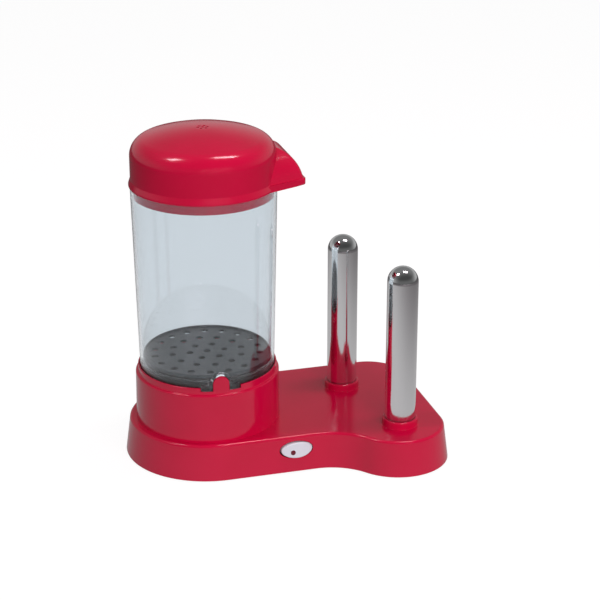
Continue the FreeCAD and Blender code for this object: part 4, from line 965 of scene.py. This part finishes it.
# %% [markdown]
# ## Floor, backdrop and light
# The toaster stands on a plain white floor. Two narrow soft boxes hang overhead, left and right, and draw the
# thin bright lines on the lid's shoulder and the base's edges. A wide lamp far in front fills the front walls
# and makes no highlight. The surroundings are white to the camera and through clear plastic. Reflections see
# a studio: a white sweep low down and behind, and a dim ceiling.


# %% Seen, reflected or lit
def by_ray(tree, seen, reflected, lit):
    """One number for the camera and clear plastic, one for reflections and one for diffuse light."""
    ray = add(tree, "ShaderNodeLightPath").outputs
    gloss = add(tree, "ShaderNodeMix", {"Factor": ray["Is Glossy Ray"], "A": lit, "B": reflected})
    clear = add(tree, "ShaderNodeMix", {"Factor": ray["Is Transmission Ray"], "A": gloss.outputs["Result"],
                                        "B": seen})
    return add(tree, "ShaderNodeMix", {"Factor": ray["Is Camera Ray"], "A": clear.outputs["Result"],
                                       "B": seen}).outputs["Result"]


# %% White surroundings
world = bpy.data.worlds.new("white_studio")
bpy.context.scene.world = world
world.use_nodes = True
air = world.node_tree
fill_light = 0.36
direction = add(air, "ShaderNodeSeparateXYZ", {"Vector": add(air, "ShaderNodeTexCoord").outputs["Generated"]})
sky = {"Value": direction.outputs["Z"], "From Min": 0.15, "From Max": 0.6, "To Min": 0.45, "To Max": 0.2}
room = {"Value": direction.outputs["Y"], "From Min": -0.7, "From Max": 0.4, "To Min": 0.3, "To Max": 1.0}
dim_above = add(air, "ShaderNodeMapRange", sky, interpolation_type="SMOOTHSTEP").outputs["Result"]
dim_in_front = add(air, "ShaderNodeMapRange", room, interpolation_type="SMOOTHSTEP").outputs["Result"]
studio = add(air, "ShaderNodeMath", {0: dim_above, 1: dim_in_front}, operation="MULTIPLY").outputs[0]
background = air.nodes["Background"].inputs
background["Color"].default_value = (1, 1, 1, 1)
air.links.new(by_ray(air, 1.0, studio, fill_light), background["Strength"])

# %% [markdown]
# The floor must look white where nothing stands on it and still take the toaster's shadow. It adds a glow,
# which lights nothing, to a matt grey that the lamps light, so the shadow stays as a soft grey patch.
# Reflections see less of the glow, and less again further from the toaster, where the lit table ends.

# %% Floor
floor_half = 6.0
table_near, table_far = 0.15, 0.7


def white_floor():
    """A glow for the camera, over a matt grey that takes the shadow."""
    material = bpy.data.materials.new("white_sweep")
    material.use_nodes = True
    tree = material.node_tree
    tree.nodes.remove(tree.nodes["Principled BSDF"])
    place = add(tree, "ShaderNodeTexCoord").outputs["Object"]
    away = add(tree, "ShaderNodeVectorMath", {0: place}, operation="LENGTH").outputs["Value"]
    fade = {"Value": away, "From Min": table_near, "From Max": table_far, "To Min": 0.38, "To Max": 0.0}
    table = add(tree, "ShaderNodeMapRange", fade, interpolation_type="SMOOTHSTEP").outputs["Result"]
    glow = add(tree, "ShaderNodeEmission", {"Color": (1, 1, 1, 1), "Strength": by_ray(tree, 0.9, table, 0.0)})
    matt = add(tree, "ShaderNodeBsdfDiffuse", {"Color": colour("#707070")})
    both = add(tree, "ShaderNodeAddShader", {0: glow.outputs[0], 1: matt.outputs[0]})
    tree.links.new(both.outputs[0], tree.nodes["Material Output"].inputs["Surface"])
    return material


floor_mesh = bmesh.new()
bmesh.ops.create_grid(floor_mesh, x_segments=1, y_segments=1, size=floor_half)
floor = as_object("floor", floor_mesh)
floor.data.materials.append(white_floor())
floor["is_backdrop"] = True

# %% Soft boxes
lamp_aim = Vector((0.06, 0.0, 0.14))
lamp_colour = colour("#FFEFF6")[:3]


def soft_box(name, place_at, size, power, mirrored=True):
    """A rectangular area lamp that looks at the toaster. One that isn't mirrored makes no highlight."""
    lamp = bpy.data.lights.new(name, "AREA")
    lamp.shape = "RECTANGLE"
    lamp.size, lamp.size_y = size
    lamp.energy = power
    lamp.color = lamp_colour
    holder = bpy.data.objects.new(name, lamp)
    holder.location = place_at
    holder.rotation_euler = (lamp_aim - Vector(place_at)).to_track_quat("-Z", "Y").to_euler()
    holder.visible_glossy = mirrored
    bpy.context.collection.objects.link(holder)
    print(f"{name}: {power} W")


soft_box("soft_box_left", (-0.75, -0.02, 1.5), (0.2, 0.42), 4.5)
soft_box("soft_box_right", (0.44, -0.06, 1.5), (0.2, 0.5), 5.5)
soft_box("front_fill", (0.3, -2.2, 0.75), (1.8, 1.0), 40, mirrored=False)

# %% [markdown]
# ## Camera
# The photograph looks down on the toaster from its front left, from about a metre and a half away. The
# camera's direction, distance and lens were fitted to the outlines of the base, the pedestal and the lid.

# %% Camera
azimuth, elevation, distance, lens_mm = math.radians(-15.96), math.radians(21.77), 1.4956, 107.9
target = Vector((0.07998, 0, 0.12302))
level_part = math.cos(elevation)
back = Vector((math.sin(azimuth) * level_part, -math.cos(azimuth) * level_part, math.sin(elevation)))
lens_data = bpy.data.cameras.new("camera")
lens_data.lens = lens_mm
camera = bpy.data.objects.new("camera", lens_data)
camera.location = target + back * distance
camera.rotation_euler = back.to_track_quat("Z", "Y").to_euler()
bpy.context.collection.objects.link(camera)
scene = bpy.context.scene
scene.camera = camera
scene.view_settings.view_transform = "Standard"
print("camera at", [round(v, 3) for v in camera.location])

# %% Compare the boxes and finish
seen_low, seen_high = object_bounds()
past = [*(cad_low - seen_low), *(seen_high - cad_high)]
print("beyond the construction box, mm:", [round(v / MM, 2) for v in past])
